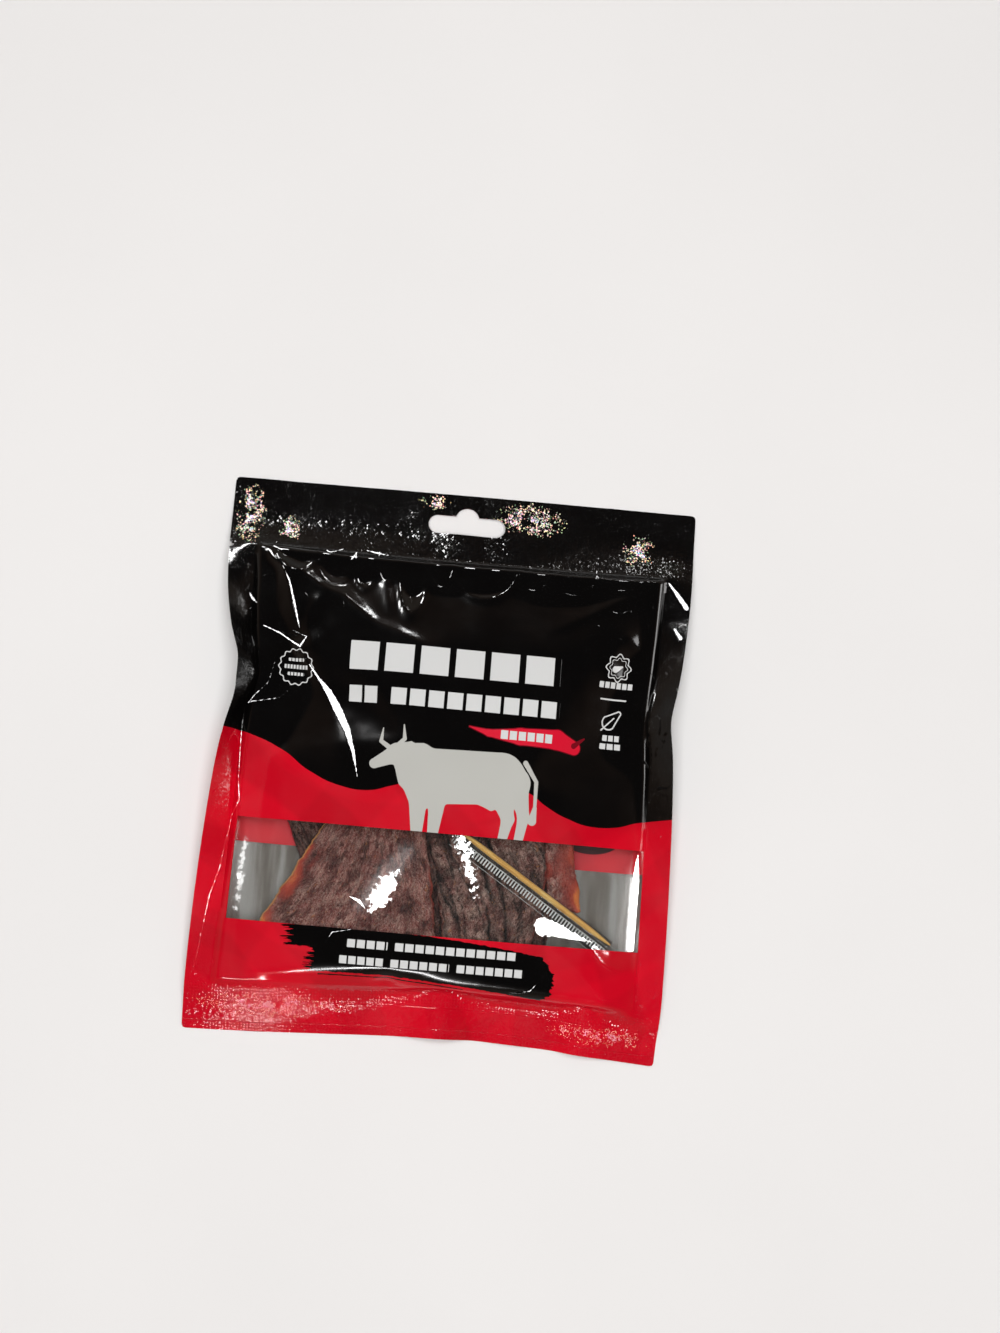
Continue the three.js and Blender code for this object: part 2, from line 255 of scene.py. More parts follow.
back_points = {index for face in film.data.polygons if face.select for index in face.vertices}
for point in film.data.vertices:
    side, layer = (-1, 2 * WEB_NOISE) if point.index in back_points else (1, WEB_NOISE)
    spot = Vector((point.co.x, point.co.y, 0)) / WAVE_SIZE + Vector((0, 0, layer))
    lift = START_GAP + WAVINESS * noise.noise(spot)
    point.co.z += side * lift * fullness(point.co.x, point.co.y)
merge_points(film, NEAR)
print("welded film:", len(film.data.vertices), "points")

# %% [markdown]
# ## Filling the pouch
#
# What shapes a pouch is the air and the product pushing its two webs apart while the seams
# hold them together: the sides draw in, the seams wrinkle, and flat facets meet in creases.
# A cloth simulation does exactly that, so it is used here with a pressure that stops at a
# given volume. The solver works best on things about a metre across, so the film is made
# ten times larger for it. Film hardly stretches, and the doubled seams bend less easily.

# %% Groups of points that the solver needs
SOLVER_SCALE = 10.0
flat_places = [point.co.copy() for point in film.data.vertices]
for point in film.data.vertices:
    point.co *= SOLVER_SCALE


def in_chamber(at):
    return abs(at.x) < SIDE_SEAM + NEAR and FOOT_SEAM - NEAR < at.y < HEAD_SEAM + NEAR


def on_seal(at):
    return abs(at.x) > SIDE_SEAM - NEAR or not FOOT_SEAM + NEAR < at.y < HEAD_SEAM - NEAR


for name, belongs in (("chamber", in_chamber), ("seal", on_seal)):
    group = film.vertex_groups.new(name=name)
    group.add([n for n, at in enumerate(flat_places) if belongs(at)], 1.0, "ADD")
print("groups:", [group.name for group in film.vertex_groups])

# %% [markdown]
# The photograph shows where the seams were pulled in: at the left and right edges under the
# black header, and twice along the foot. Those few points are led there while the pouch
# fills. Their targets are a shape key, and keyframes turn it on, because a value set by hand
# in each frame would restart the simulation.


# %% Where the seams are drawn in
def bell(at, centre, spread, height):
    return height * math.exp(-(((at - centre) / spread) ** 2))


# edge, centre, reach, spread and depth of the pull, spread and height of its lift, in mm
PULLS = (
    ("left", 26, 10, 15, 5.0, 8, 1.5),
    ("right", 21, 7, 13, 2.8, 8, 1.0),
    ("foot", 7, 14, 24, 4.4, 1, 0.0),
    ("foot", 52, 6, 16, 2.6, 1, 0.0),
)
EDGES = {
    "left": (lambda at: abs(at.x + SIDE_SEAM), "y", Vector((1, 0, 0))),
    "right": (lambda at: abs(at.x - SIDE_SEAM), "y", Vector((-1, 0, 0))),
    "foot": (lambda at: abs(at.y - FOOT_SEAM), "x", Vector((0, 1, 0))),
}
film.shape_key_add(name="Basis")
rest = film.shape_key_add(name="flat_cut")
pulled = film.shape_key_add(name="pulled")
led_points = []
for index, at in enumerate(flat_places):
    rest.data[index].co = Vector((at.x, at.y, FLAT_HEIGHT)) * SOLVER_SCALE
    for edge, centre, reach, spread, depth, lift_spread, lift in PULLS:
        distance, axis, inward = EDGES[edge]
        along = getattr(at, axis) / MM
        if distance(at) > NEAR or abs(along - centre) >= reach or index in led_points:
            continue
        move = inward * bell(along, centre, spread, depth)
        move.z = bell(along, centre, lift_spread, lift)
        pulled.data[index].co = film.data.vertices[index].co + move * MM * SOLVER_SCALE
        led_points.append(index)
film.vertex_groups.new(name="led").add(led_points, 1.0, "ADD")
print("seam points that are led inwards:", len(led_points))

# %% Set up the film as cloth
FRAMES = 52
PULL_DONE = 26
FILLED_VOLUME = 0.21
# thin, stiff film, which is stiffer along the seal and hardly stretches
FILM_CLOTH = {
    "quality": 8, "mass": 0.05, "tension_stiffness": 150, "compression_stiffness": 150,
    "shear_stiffness": 80, "bending_model": "ANGULAR", "bending_stiffness": 12,
    "bending_stiffness_max": 80, "vertex_group_bending": "seal", "tension_damping": 8,
    "compression_damping": 8, "shear_damping": 8, "bending_damping": 1, "air_damping": 2,
    "use_pressure": True, "uniform_pressure_force": 0, "use_pressure_volume": True,
    "target_volume": FILLED_VOLUME, "pressure_factor": 4, "vertex_group_pressure": "chamber",
    "vertex_group_mass": "led", "pin_stiffness": 1,
}
FILM_WEIGHT = 0.3
TOUCH_DISTANCE = 0.004
TABLE_SIZE = 6
TABLE_SKIN = 0.002
TABLE_FRICTION = 5


def cloth_film():
    """The Cloth modifier with the settings of the film."""
    modifier = film.modifiers.new("Cloth", "CLOTH")
    for name, value in FILM_CLOTH.items():
        setattr(modifier.settings, name, value)
    modifier.settings.effector_weights.gravity = FILM_WEIGHT
    modifier.settings.rest_shape_key = film.data.shape_keys.key_blocks["flat_cut"]
    modifier.collision_settings.distance_min = TOUCH_DISTANCE
    modifier.collision_settings.use_self_collision = False
    modifier.point_cache.frame_start = 1
    modifier.point_cache.frame_end = FRAMES
    return modifier


def table_under_film():
    """A plane that the filling pouch lies on, for the solver alone."""
    table = new_piece(bpy.ops.mesh.primitive_plane_add, "table", size=TABLE_SIZE)
    table.modifiers.new("Collision", "COLLISION")
    table.collision.thickness_outer = TABLE_SKIN
    table.collision.cloth_friction = TABLE_FRICTION
    return table


def fill_pouch():
    """Run the simulation and give back where each point ends."""
    table = table_under_film()
    modifier = cloth_film()
    key = film.data.shape_keys.key_blocks["pulled"]
    for when, value in ((1, 0.0), (PULL_DONE, 1.0)):
        key.value = value
        key.keyframe_insert("value", frame=when)
    for when in range(1, FRAMES + 1):
        bpy.context.scene.frame_set(when)
    shaped = film.evaluated_get(bpy.context.evaluated_depsgraph_get())
    places = [point.co / SOLVER_SCALE for point in shaped.data.vertices]
    film.modifiers.remove(modifier)
    bpy.data.objects.remove(table)
    bpy.context.scene.frame_set(1)
    return places


# %% Fill it
REST_LIFT = 0.17 * MM
filled = fill_pouch()
film.shape_key_clear()
lowest = min(at.z for at in filled) - REST_LIFT
stretch = POUCH_LENGTH / (max(at.y for at in filled) - min(at.y for at in filled))
for point, at in zip(film.data.vertices, filled):
    point.co = (at.x, at.y * stretch, at.z - lowest)
tops = [point.co.z for point in film.data.vertices]
print("filled pouch is", round(max(tops) / MM, 2), "mm high, drawn out by", round(stretch, 4))

# %% [markdown]
# One level of subdivision rounds the cells. The seam stays crisp, because three sheets of
# cells meet there and the modifier keeps such an edge sharp.

# %% Smooth the cells
film.vertex_groups.clear()
apply_modifier(film, "SUBSURF", levels=1, render_levels=1, uv_smooth="NONE")
print("smooth film:", len(film.data.polygons), "faces")


# %% [markdown]
# ## Puckers and creases
#
# Just under the header the front film is longer than the weld, so it hangs in a row of small
# U-shaped scallops. From the top left corner of the seams some sharp creases run inwards, and
# a facet is folded in at the right. These come from handling the pack, and no simulation
# gives them at the photograph's places, so they are pressed into the film here. Each is a
# smooth rule for how far a point of the flat pattern rises or sinks.

# %% Scallops under the header
# left edge, right edge and length of each scallop, and how deep it is, in mm
SCALLOPS = (
    (-66, -51, 9, 0.9),
    (-51, -37.5, 12, 1.2),
    (-37.5, -29.5, 13, 1.3),
    (-29.5, -22, 10, 0.9),
    (-22, -11, 21, 1.6),
    (-11, -3, 10, 1.1),
    (-3, 20, 13, 1.7),
    (20, 31.5, 8.5, 1.2),
    (31.5, 48, 9, 1.5),
    (48, 66, 6, 1.0),
)
RIM_WIDTH = 0.17
RIM_SHARE = 0.35
SCALLOP_END, SCALLOP_SIDE = 1.7, 1.3
SCALLOP_START = 1.5


def scallop_depth(x, y):
    """How far the scallops move a point of the front film, in mm, from its place in mm."""
    hang = HEAD_SEAM / MM - y
    if hang <= 0:
        return 0.0
    moved = 0.0
    for left, right, length, depth in SCALLOPS:
        across = (2 * x - left - right) / (right - left)
        reach = math.hypot(across, hang / length)
        if reach < SCALLOP_END and abs(across) < SCALLOP_SIDE:
            dish = -depth * max(0, 1 - reach**2) ** 0.8
            rim = RIM_SHARE * depth * math.exp(-(((reach - 1) / RIM_WIDTH) ** 2))
            moved += dish + rim
    return moved * min(1, hang / SCALLOP_START)


# %% Creases that run in from the seams
# height, width on the sharp side, width on the soft side, then the points of the line, in mm
CREASES = (
    (1.3, 2.0, 5.0, ((-71, 71), (-62, 64), (-59.9, 59.3), (-57.4, 50.6), (-55, 44))),
    (1.0, 1.8, 4.5, ((-70, 70.5), (-59.3, 64.3), (-46.6, 57.7), (-40.9, 56), (-29, 46.5),
                     (-20.6, 43.9), (-12, 40.3), (-3.5, 37))),
    (0.8, 1.8, 3.5, ((-47.5, 55.4), (-50.8, 50.1), (-52.2, 43.3), (-49.4, 36.3), (-41.5, 33))),
    (1.0, 1.8, 4.0, ((-70, 43), (-62.4, 40.7), (-55, 36.4), (-53, 30))),
    (1.9, 6.0, 10.0, ((-57, 39), (-54, 35), (-50.5, 30), (-46.5, 24), (-42.5, 17.5), (-39, 10.5),
                      (-36.5, 3), (-35, -5), (-34.5, -12))),
    (0.6, 1.8, 2.5, ((-29.5, 69), (-26.9, 64.6), (-25, 56.4), (-23.2, 48.7))),
    (0.6, 2.0, 5.0, ((71, 71), (52, 60), (29, 47))),
    (0.9, 1.8, 4.0, ((59.2, 51.7), (72, 38.7))),
    (0.8, 1.8, 4.0, ((72, 38.7), (63, 33), (56.8, 34.5), (54.8, 39.4), (59.2, 51.7))),
    (0.7, 1.8, 3.0, ((38, -58), (48, -64), (60, -75), (71, -81))),
)


def nearest_on(x, y, start, end):
    """Distance to a stretch, which side of it, and how far along it the nearest point is."""
    run, rise = end[0] - start[0], end[1] - start[1]
    share = ((x - start[0]) * run + (y - start[1]) * rise) / (run * run + rise * rise)
    share = min(1, max(0, share))
    gap_x, gap_y = x - start[0] - share * run, y - start[1] - share * rise
    return math.hypot(gap_x, gap_y), run * gap_y - rise * gap_x, share


CREST = 0.9
ROUND_CREST = 4.0
SMOOTH_CREASE = 4
FADE_IN, FADE_OUT, START_SHARE = 6, 4, 0.2


def crease_height(x, y):
    """How far the creases lift a point of the front film, in mm."""
    lifted = 0.0
    for number, (height, sharp, soft, line) in enumerate(CREASES):
        crest = ROUND_CREST if number == SMOOTH_CREASE else CREST
        best = (1e9, 0, 0)
        for stretch, (start, end) in enumerate(zip(line, line[1:])):
            gap, side, share = nearest_on(x, y, start, end)
            if gap < best[0]:
                best = (gap, side, (stretch + share) / (len(line) - 1))
        gap, side, along = best
        if gap < 3 * soft:
            width = sharp if side > 0 else soft
            ends = min(1, FADE_IN * along + START_SHARE) * min(1, FADE_OUT * (1 - along))
            lifted += height * ends * math.exp(-(math.hypot(gap, crest) - crest) / width)
    return lifted


print("scallops:", len(SCALLOPS), "creases:", len(CREASES))

# %% [markdown]
# The toothpick lies just under the front film, and its lower end is higher than the film
# there would be by itself, so the film stands over it like a tent. The same rule lifts the
# film over the stick's whole length where it has to.

# %% The toothpick's place, as the model has it
PICK_START = Vector((7.2, -22.8, 10.9))
PICK_HEADING = Vector((55, -34.5, -3)).normalized()
PICK_LENGTH = 65
PICK_RADIUS = 1.0
TENT_GAP = 0.45
TENT_SPREAD = 9.0
TENT_DEPTH = 5.5


def tent_height(place):
    """The lowest height that the film may have at a place, in mm, so that it clears the pick."""
    flat_heading = Vector((PICK_HEADING.x, PICK_HEADING.y))
    offset = Vector((place.x - PICK_START.x, place.y - PICK_START.y))
    along = min(PICK_LENGTH, max(0, offset.dot(flat_heading) / flat_heading.length))
    gap = (offset - flat_heading.normalized() * along).length
    ridge = PICK_START.z + PICK_HEADING.z * along + PICK_RADIUS + TENT_GAP
    return ridge - TENT_DEPTH * (1 - math.exp(-((gap / TENT_SPREAD) ** 2)))


# %% Press them into the front film
HOLD_WIDTH = 2
flat_of = {}
for loop, place in zip(film.data.loops, film.data.uv_layers["flat"].data):
    flat_of[loop.vertex_index] = [(share - 0.5) * CHART / MM for share in place.uv]
front_points = set()
for face in film.data.polygons:
    if face.material_index in (FRONT_PRINT, FRONT_CLEAR):
        front_points.update(face.vertices)
for index in sorted(front_points):
    x, y = flat_of[index]
    if not in_chamber(Vector((x, y, 0)) * MM):
        continue
    to_seam = min(SIDE_SEAM / MM - abs(x), HEAD_SEAM / MM - y, y - FOOT_SEAM / MM)
    hold = min(1, max(0, to_seam) / HOLD_WIDTH)
    place = film.data.vertices[index].co
    lift = hold * (scallop_depth(x, y) + crease_height(x, y))
    place.z += lift * MM
    tent = tent_height(place / MM)
    if hold > 0 and tent > place.z / MM:
        place.z += hold * (tent * MM - place.z)
print("creased film is", round(max(point.co.z for point in film.data.vertices) / MM, 2), "mm high")

# %% [markdown]
# ## From one sheet to four pieces
#
# The printed film and the clear panes get different finishes, and each piece rides on the
# model by its own name, so the sheet is now split by its material slots. The back web also
# needs its own side of the welded border: a copy of the front's border, turned over and set
# just below it.


# %% Split the sheet
def split_off(obj, wanted, name):
    """Move the faces for which wanted(face) is true into a new object."""
    choose_faces(obj, wanted)
    bpy.ops.mesh.separate(type="SELECTED")
    object_mode()
    piece = next(other for other in bpy.context.selected_objects if other != obj)
    piece.name = name
    piece.data.name = name
    return piece


def flat_centre(obj, face):
    """The middle of a face on the flat pattern, in metres."""
    places = [obj.data.uv_layers["flat"].data[n].uv for n in face.loop_indices]
    middle = sum(places, Vector((0, 0))) / len(places)
    return (middle - Vector((0.5, 0.5))) * CHART


front_pane = split_off(film, lambda f: f.material_index == FRONT_CLEAR, "window_front_pane")
back_pane = split_off(film, lambda f: f.material_index == BACK_CLEAR, "window_back_pane")
film_back = split_off(film, lambda f: f.material_index == BACK_PRINT, "film_back")
film_front = film
film_front.name = "film_front"
film_front.data.name = "film_front"

FILM_THICKNESS = 0.1 * MM
WELD_STEP = 0.22 * MM
choose_faces(film_front, lambda face: not inside_seams(flat_centre(film_front, face)))
bpy.ops.mesh.duplicate()
bpy.ops.mesh.flip_normals()
bpy.ops.transform.translate(value=(0, 0, -WELD_STEP))
bpy.ops.mesh.separate(type="SELECTED")
object_mode()
border = next(other for other in bpy.context.selected_objects if other != film_front)
only(film_back)
border.select_set(True)
bpy.ops.object.join()
merge_points(film_back, WELD_STEP * 1.1)
print("front", len(film_front.data.polygons), "back", len(film_back.data.polygons), "faces")

# %% [markdown]
# Before the film gets its thickness, a search tree over the front and the back is kept. It
# tells how much room there is inside at any place, and the strips are fitted to that.

# %% Room inside the pouch
OVERHEAD = 90


def height_finder(obj, pane):
    """A function for the height of the film at x, y in mm, or None beside it."""
    points, faces = [], []
    for part in (obj, pane):
        first = len(points)
        points += [point.co / MM for point in part.data.vertices]
        faces += [[first + n for n in face.vertices] for face in part.data.polygons]
    tree = BVHTree.FromPolygons(points, faces)

    def height(x, y):
        hit = tree.ray_cast(Vector((x, y, OVERHEAD)), Vector((0, 0, -1)))[0]
        return hit.z if hit else None

    return height


front_height = height_finder(film_front, front_pane)
back_height = height_finder(film_back, back_pane)
for x, y in ((-60, -40), (0, -40), (60, -50), (0, 40)):
    print("room at", (x, y), round(back_height(x, y), 1), "to", round(front_height(x, y), 1))

# %% [markdown]
# ## Thickness, hang slot and tear notch
#
# Solidify gives each web its wall. The wall grows inwards, so the outside stays where it is,
# and its inner side takes a material of its own, because print seen from behind through the
# laminate looks paler. The hang slot and the tear notch are punched through both webs by
# Boolean modifiers, as a die does it on the packing line.

# %% Give the webs their walls
for piece, outer, inner in (
    (film_front, front_ink, inner_ink),
    (film_back, back_ink, inner_ink),
    (front_pane, clear_film, clear_film),
    (back_pane, back_clear_film, back_clear_film),
):
    piece.data.materials.clear()
    piece.data.materials.append(outer)
    piece.data.materials.append(inner)
    for face in piece.data.polygons:
        face.material_index = 0
    apply_modifier(piece, "SOLIDIFY", thickness=FILM_THICKNESS, offset=-1, material_offset=1)
    print(piece.name, len(piece.data.polygons), "faces")

SEAM_STRIP = 4 * MM
for piece in (film_front, film_back):
    for face in piece.data.polygons:
        at = flat_centre(piece, face)
        deep = abs(at.x) < SIDE_SEAM - SEAM_STRIP and FOOT_SEAM + SEAM_STRIP < at.y < 0
        if face.material_index == 1 and not deep:
            face.material_index = 0

# %% Punch the slot and the notch
SLOT_CENTRE = Vector((0.7, 85.9, 0))
SLOT_LENGTH = 27.5
SLOT_WIDTH = 6.8
CROWN_RADIUS = 4.3
CROWN_CENTRE = Vector((0.7, 88.1, 0))
NOTCH_PLACE = (-83.2 * MM, 71 * MM, 0)
NOTCH_RADIUS = 2.6
DIE_HEIGHT = 30
ROUND_DIE = 48


def punch(piece, place, radius, sides=ROUND_DIE, turn=0.0, spread=0.0):
    """Cut a hole by a die of some radius, whose two sides are spread apart, in mm."""
    die = new_piece(
        bpy.ops.mesh.primitive_cylinder_add, "die", vertices=sides, radius=radius * MM,
        depth=DIE_HEIGHT * MM, location=place, rotation=(0, 0, turn),
    )
    for point in die.data.vertices:
        point.co.x += math.copysign(spread * MM, point.co.x)
    apply_modifier(piece, "BOOLEAN", object=die, operation="DIFFERENCE", solver="EXACT")
    bpy.data.objects.remove(die)


for piece in (film_front, film_back):
    punch(piece, SLOT_CENTRE * MM, SLOT_WIDTH / 2, spread=(SLOT_LENGTH - SLOT_WIDTH) / 2)
    punch(piece, CROWN_CENTRE * MM, CROWN_RADIUS)
    punch(piece, NOTCH_PLACE, NOTCH_RADIUS, sides=3, turn=-TURN / 4)
    print(piece.name, "after punching:", len(piece.data.polygons), "faces")

# %% Smooth shading with crisp rims
RIM_ANGLE = math.radians(60)
for piece in (film_front, film_back, front_pane, back_pane):
    only(piece)
    bpy.ops.object.shade_smooth_by_angle(angle=RIM_ANGLE)
print("shaded the film")

# %% [markdown]
# ## Drawing with nodes
#
# The print is drawn by nodes on the flat pattern, so that it keeps sharp edges at any size
# and follows every fold. Each simple shape is a node group that gives the distance from its
# edge in mm: below zero inside it and above zero outside. The smaller of two distances joins
# two shapes, and a steep ramp turns a distance into a mask. Shapes are joined one by one, as
# each is made, because the renderer can keep only so many values in mind at a time.


# %% Helpers for node trees
def put(socket, value):
    """Join a socket to an output, or set its value."""
    if isinstance(value, bpy.types.NodeSocket):
        socket.id_data.links.new(value, socket)
    else:
        socket.default_value = value


def node_of(kind, inputs=(), tree=None, **settings):
    """A node with its settings made and its inputs filled, by name or number.

    It goes into the tree of its inputs, so a tree is given only where no input is joined.
    """
    inputs = dict(inputs)
    for value in inputs.values():
        if isinstance(value, bpy.types.NodeSocket):
            tree = value.id_data
    node = tree.nodes.new(kind)
    for name, value in settings.items():
        setattr(node, name, value)
    for name, value in inputs.items():
        put(node.inputs[name], value)
    return node


def maths(kind, *values, clamp=False, tree=None):
    return node_of(
        "ShaderNodeMath", enumerate(values), tree, operation=kind, use_clamp=clamp
    ).outputs[0]


def plus(first, second):
    return maths("ADD", first, second)


def minus(first, second, clamp=False):
    return maths("SUBTRACT", first, second, clamp=clamp)


def times(first, second, clamp=False):
    return maths("MULTIPLY", first, second, clamp=clamp)


def times_plus(first, second, third, clamp=False):
    return maths("MULTIPLY_ADD", first, second, third, clamp=clamp)


def larger(first, second):
    return maths("MAXIMUM", first, second)


def unsigned(value):
    return maths("ABSOLUTE", value)


def vectors(kind, *values):
    node = node_of("ShaderNodeVectorMath", enumerate(values), operation=kind)
    return node.outputs["Value" if kind in ("LENGTH", "DOT_PRODUCT") else "Vector"]


def scaled(vector, factor):
    inputs = {0: vector, "Scale": factor}
    return node_of("ShaderNodeVectorMath", inputs, operation="SCALE").outputs["Vector"]


def x_and_y(place):
    return node_of("ShaderNodeSeparateXYZ", {0: place}).outputs[:2]


def vector_of(x, y, z=0.0):
    return node_of("ShaderNodeCombineXYZ", {0: x, 1: y, 2: z}).outputs[0]


def oval_reach(at, centre, half):
    """How far a place is from the middle of an oval, where 1 is the oval's edge."""
    offset = vectors("SUBTRACT", at, (*centre, 0))
    return vectors("LENGTH", vectors("MULTIPLY", offset, (1 / half[0], 1 / half[1], 0)))


def mapped(place, **inputs):
    """A place that is moved, turned or scaled."""
    inputs = {name.title(): value for name, value in inputs.items()}
    return node_of("ShaderNodeMapping", {"Vector": place, **inputs}).outputs[0]


def blend_colours(factor, below, above):
    inputs = {0: factor, 6: below, 7: above}
    return node_of("ShaderNodeMix", inputs, data_type="RGBA").outputs[2]


def blend_vectors(share, first, second):
    inputs = {0: share, 4: first, 5: second}
    return node_of("ShaderNodeMix", inputs, data_type="VECTOR").outputs[1]


def noise_of(vector, scale, detail=2.0, roughness=0.5, distortion=0.0):
    inputs = {"Vector": vector, "Scale": scale, "Detail": detail, "Roughness": roughness,
              "Distortion": distortion}
    return node_of("ShaderNodeTexNoise", inputs).outputs[0]


def noise_colour(vector, scale):
    """Noise with three parts, for bending a pattern."""
    node = node_of("ShaderNodeTexNoise", {"Vector": vector, "Scale": scale, "Detail": 1.0})
    return vectors("SUBTRACT", node.outputs["Color"], (0.5, 0.5, 0.5))


def cell_colour(spot):
    """Three random numbers for each unit cell."""
    cell = vectors("FLOOR", spot)
    return node_of("ShaderNodeTexWhiteNoise", {"Vector": cell}).outputs["Color"]


def ramp_of(value, stops):
    """A colour ramp through (place, colour) stops."""
    node = node_of("ShaderNodeValToRGB", {0: value})
    ramp = node.color_ramp
    while len(ramp.elements) > 1:
        ramp.elements.remove(ramp.elements[0])
    for number, (place, colour) in enumerate(stops):
        stop = ramp.elements[0] if number == 0 else ramp.elements.new(place)
        stop.position = place
        stop.color = colour
    return node.outputs[0]


def rescale(value, low, high, to_low=0.0, to_high=1.0):
    inputs = {"Value": value, "From Min": low, "From Max": high, "To Min": to_low,
              "To Max": to_high}
    return node_of("ShaderNodeMapRange", inputs, interpolation_type="SMOOTHSTEP").outputs[0]


def bumped(height, distance=MM):
    """The surface direction over a height, which is in mm unless a distance says otherwise."""
    inputs = {"Height": height, "Distance": distance, "Strength": 1.0}
    return node_of("ShaderNodeBump", inputs).outputs[0]


def source_of(tree, name="Object"):
    return node_of("ShaderNodeTexCoord", tree=tree).outputs[name]


def attribute_of(tree, name):
    return node_of("ShaderNodeAttribute", tree=tree, attribute_name=name).outputs["Fac"]


def shader_of(material):
    """A material's node tree, and the inputs of its shader."""
    material.use_nodes = True
    tree = material.node_tree
    return tree, tree.nodes["Principled BSDF"].inputs


def paint(red, green, blue):
    """A colour given as the eye sees it, 0 to 255, made linear for a shader."""
    shares = [value / 255 for value in (red, green, blue)]
    return (*(s / 12.92 if s <= 0.04045 else ((s + 0.055) / 1.055) ** 2.4 for s in shares), 1)


WHITE = (1, 1, 1, 1)
print("node helpers ready")


# %% Shapes as node groups
def shape_group(name, **sockets):
    """A node group for a shape, with a place and some measures as its inputs."""
    group = bpy.data.node_groups.new(name, "ShaderNodeTree")
    for label, kind in {"At": "Vector", **sockets}.items():
        group.interface.new_socket(
            name=label.replace("_", " "), in_out="INPUT", socket_type="NodeSocket" + kind
        )
    group.interface.new_socket(name="Distance", in_out="OUTPUT", socket_type="NodeSocketFloat")
    source = group.nodes.new("NodeGroupInput")
    return group, source.outputs, group.nodes.new("NodeGroupOutput").inputs[0]


stroke_group, given, distance = shape_group(
    "stroke", Start="Vector", End="Vector", Start_width="Float", End_width="Float"
)
run = vectors("SUBTRACT", given["End"], given["Start"])
offset = vectors("SUBTRACT", given["At"], given["Start"])
share = maths(
    "DIVIDE", vectors("DOT_PRODUCT", offset, run), vectors("DOT_PRODUCT", run, run), clamp=True
)
gap = vectors("LENGTH", vectors("SUBTRACT", offset, scaled(run, share)))
growth = minus(given["End width"], given["Start width"])
put(distance, minus(gap, times_plus(growth, share, given["Start width"])))

bar_group, given, distance = shape_group(
    "bar", Centre="Vector", Straight_part="Vector", Corner="Float"
)
offset = vectors("ABSOLUTE", vectors("SUBTRACT", given["At"], given["Centre"]))
outside = vectors("MAXIMUM", vectors("SUBTRACT", offset, given["Straight part"]), (0, 0, 0))
put(distance, minus(vectors("LENGTH", outside), given["Corner"]))


def stroke(at, start, end, start_width, end_width):
    """Distance from a round-ended stroke that widens from one end to the other."""
    inputs = {"At": at, "Start": (*start, 0), "End": (*end, 0), "Start width": start_width,
              "End width": end_width}
    return node_of("ShaderNodeGroup", inputs, node_tree=stroke_group).outputs[0]


def bar(at, centre, half_size, corner):
    """Distance from a bar with round corners."""
    straight = (half_size[0] - corner, half_size[1] - corner, 0)
    inputs = {"At": at, "Centre": (*centre, 0), "Straight part": straight, "Corner": corner}
    return node_of("ShaderNodeGroup", inputs, node_tree=bar_group).outputs[0]


def joined(distances, kind="MINIMUM", *reach, total=None):
    """One distance for several shapes, each joined to the others as soon as it is made."""
    for distance in distances:
        total = distance if total is None else maths(kind, total, distance, *reach)
    return total


def melted(parts, at, reach):
    """Strokes that flow into each other like drops of paint."""
    return joined((stroke(at, *part) for part in parts), "SMOOTH_MIN", reach)


def outline(distance, width):
    """A line of a given width along a shape's edge."""
    return minus(unsigned(distance), width / 2)


INK_EDGE = 0.12


def mask_of(distance, edge=INK_EDGE):
    return times_plus(distance, -1 / edge, 0.5, clamp=True)


print("shape groups:", stroke_group.name, bar_group.name)

# %% [markdown]
# ## The print
#
# The film is black above a wavy line and red below it. On it stand a pale cow, a red chilli,
# a black brush stroke and a few small emblems. Rows of plain blocks, rings and leaves fill
# the rest, which balances the print. The cow is put together from tapering strokes that flow
# into each other, as a stencil cutter might block it out. The brush stroke is two lobes whose
# ends are frayed by noise that is long in the direction of the stroke.

# %% Numbers of the print, in mm on the flat pattern
BLACK_INK = paint(7, 6, 6)
RED_INK = paint(211, 5, 33)
DEEP_RED_INK = paint(140, 0, 14)
PALE_INK = paint(214, 216, 216)
COW_INK = paint(188, 189, 184)
CHILLI_INK = paint(216, 22, 50)
CHILLI_LINE_INK = paint(120, 6, 26)

WAVE_LINE = (
    (-82.5, 5.6), (-75, 5.3), (-68, 3.8), (-57.5, -0.2), (-46, -7.3), (-35, -11.2), (-28, -12),
    (-18, -9.7), (-6, -5.6), (8, -4), (19, -5), (29, -7.8), (36, -12), (44, -15.6),
    (53, -17.6), (60, -17.3), (70, -14.7), (82.5, -12.9),
)
WAVE_LOW, WAVE_HIGH = -22.0, 10.0

# start, end, and half width at each, of the strokes that make up a shape
COW = (
    ((-4, -5.2), (19, -4.0), 9.4, 8.9), ((-9.5, -4.5), (-6.5, -9.5), 6.4, 6.6),
    ((20.5, -1.9), (24.6, -5.0), 6.2, 5.2), ((-9, 0.2), (-16.6, 1.4), 5.6, 3.7),
    ((-12.5, -6.5), (-15.2, -2.6), 3.6, 2.2), ((-17.6, 1.1), (-24.4, -2.6), 3.0, 1.7),
    ((-15.6, 3.7), (-12.4, 5.3), 1.1, 0.6), ((20, -9), (23, -17.5), 4.4, 2.1),
    ((23, -17.5), (21.4, -26), 2.1, 1.5), ((25.6, -6), (28.4, -16.5), 3.6, 1.9),
    ((28.4, -16.5), (27, -26), 1.9, 1.5), ((-8.4, -11), (-7.8, -26), 3.4, 1.8),
    ((-1.6, -12), (-2.4, -26), 3.0, 1.7), ((14.4, -12), (17, -13.8), 2.0, 1.4),
)
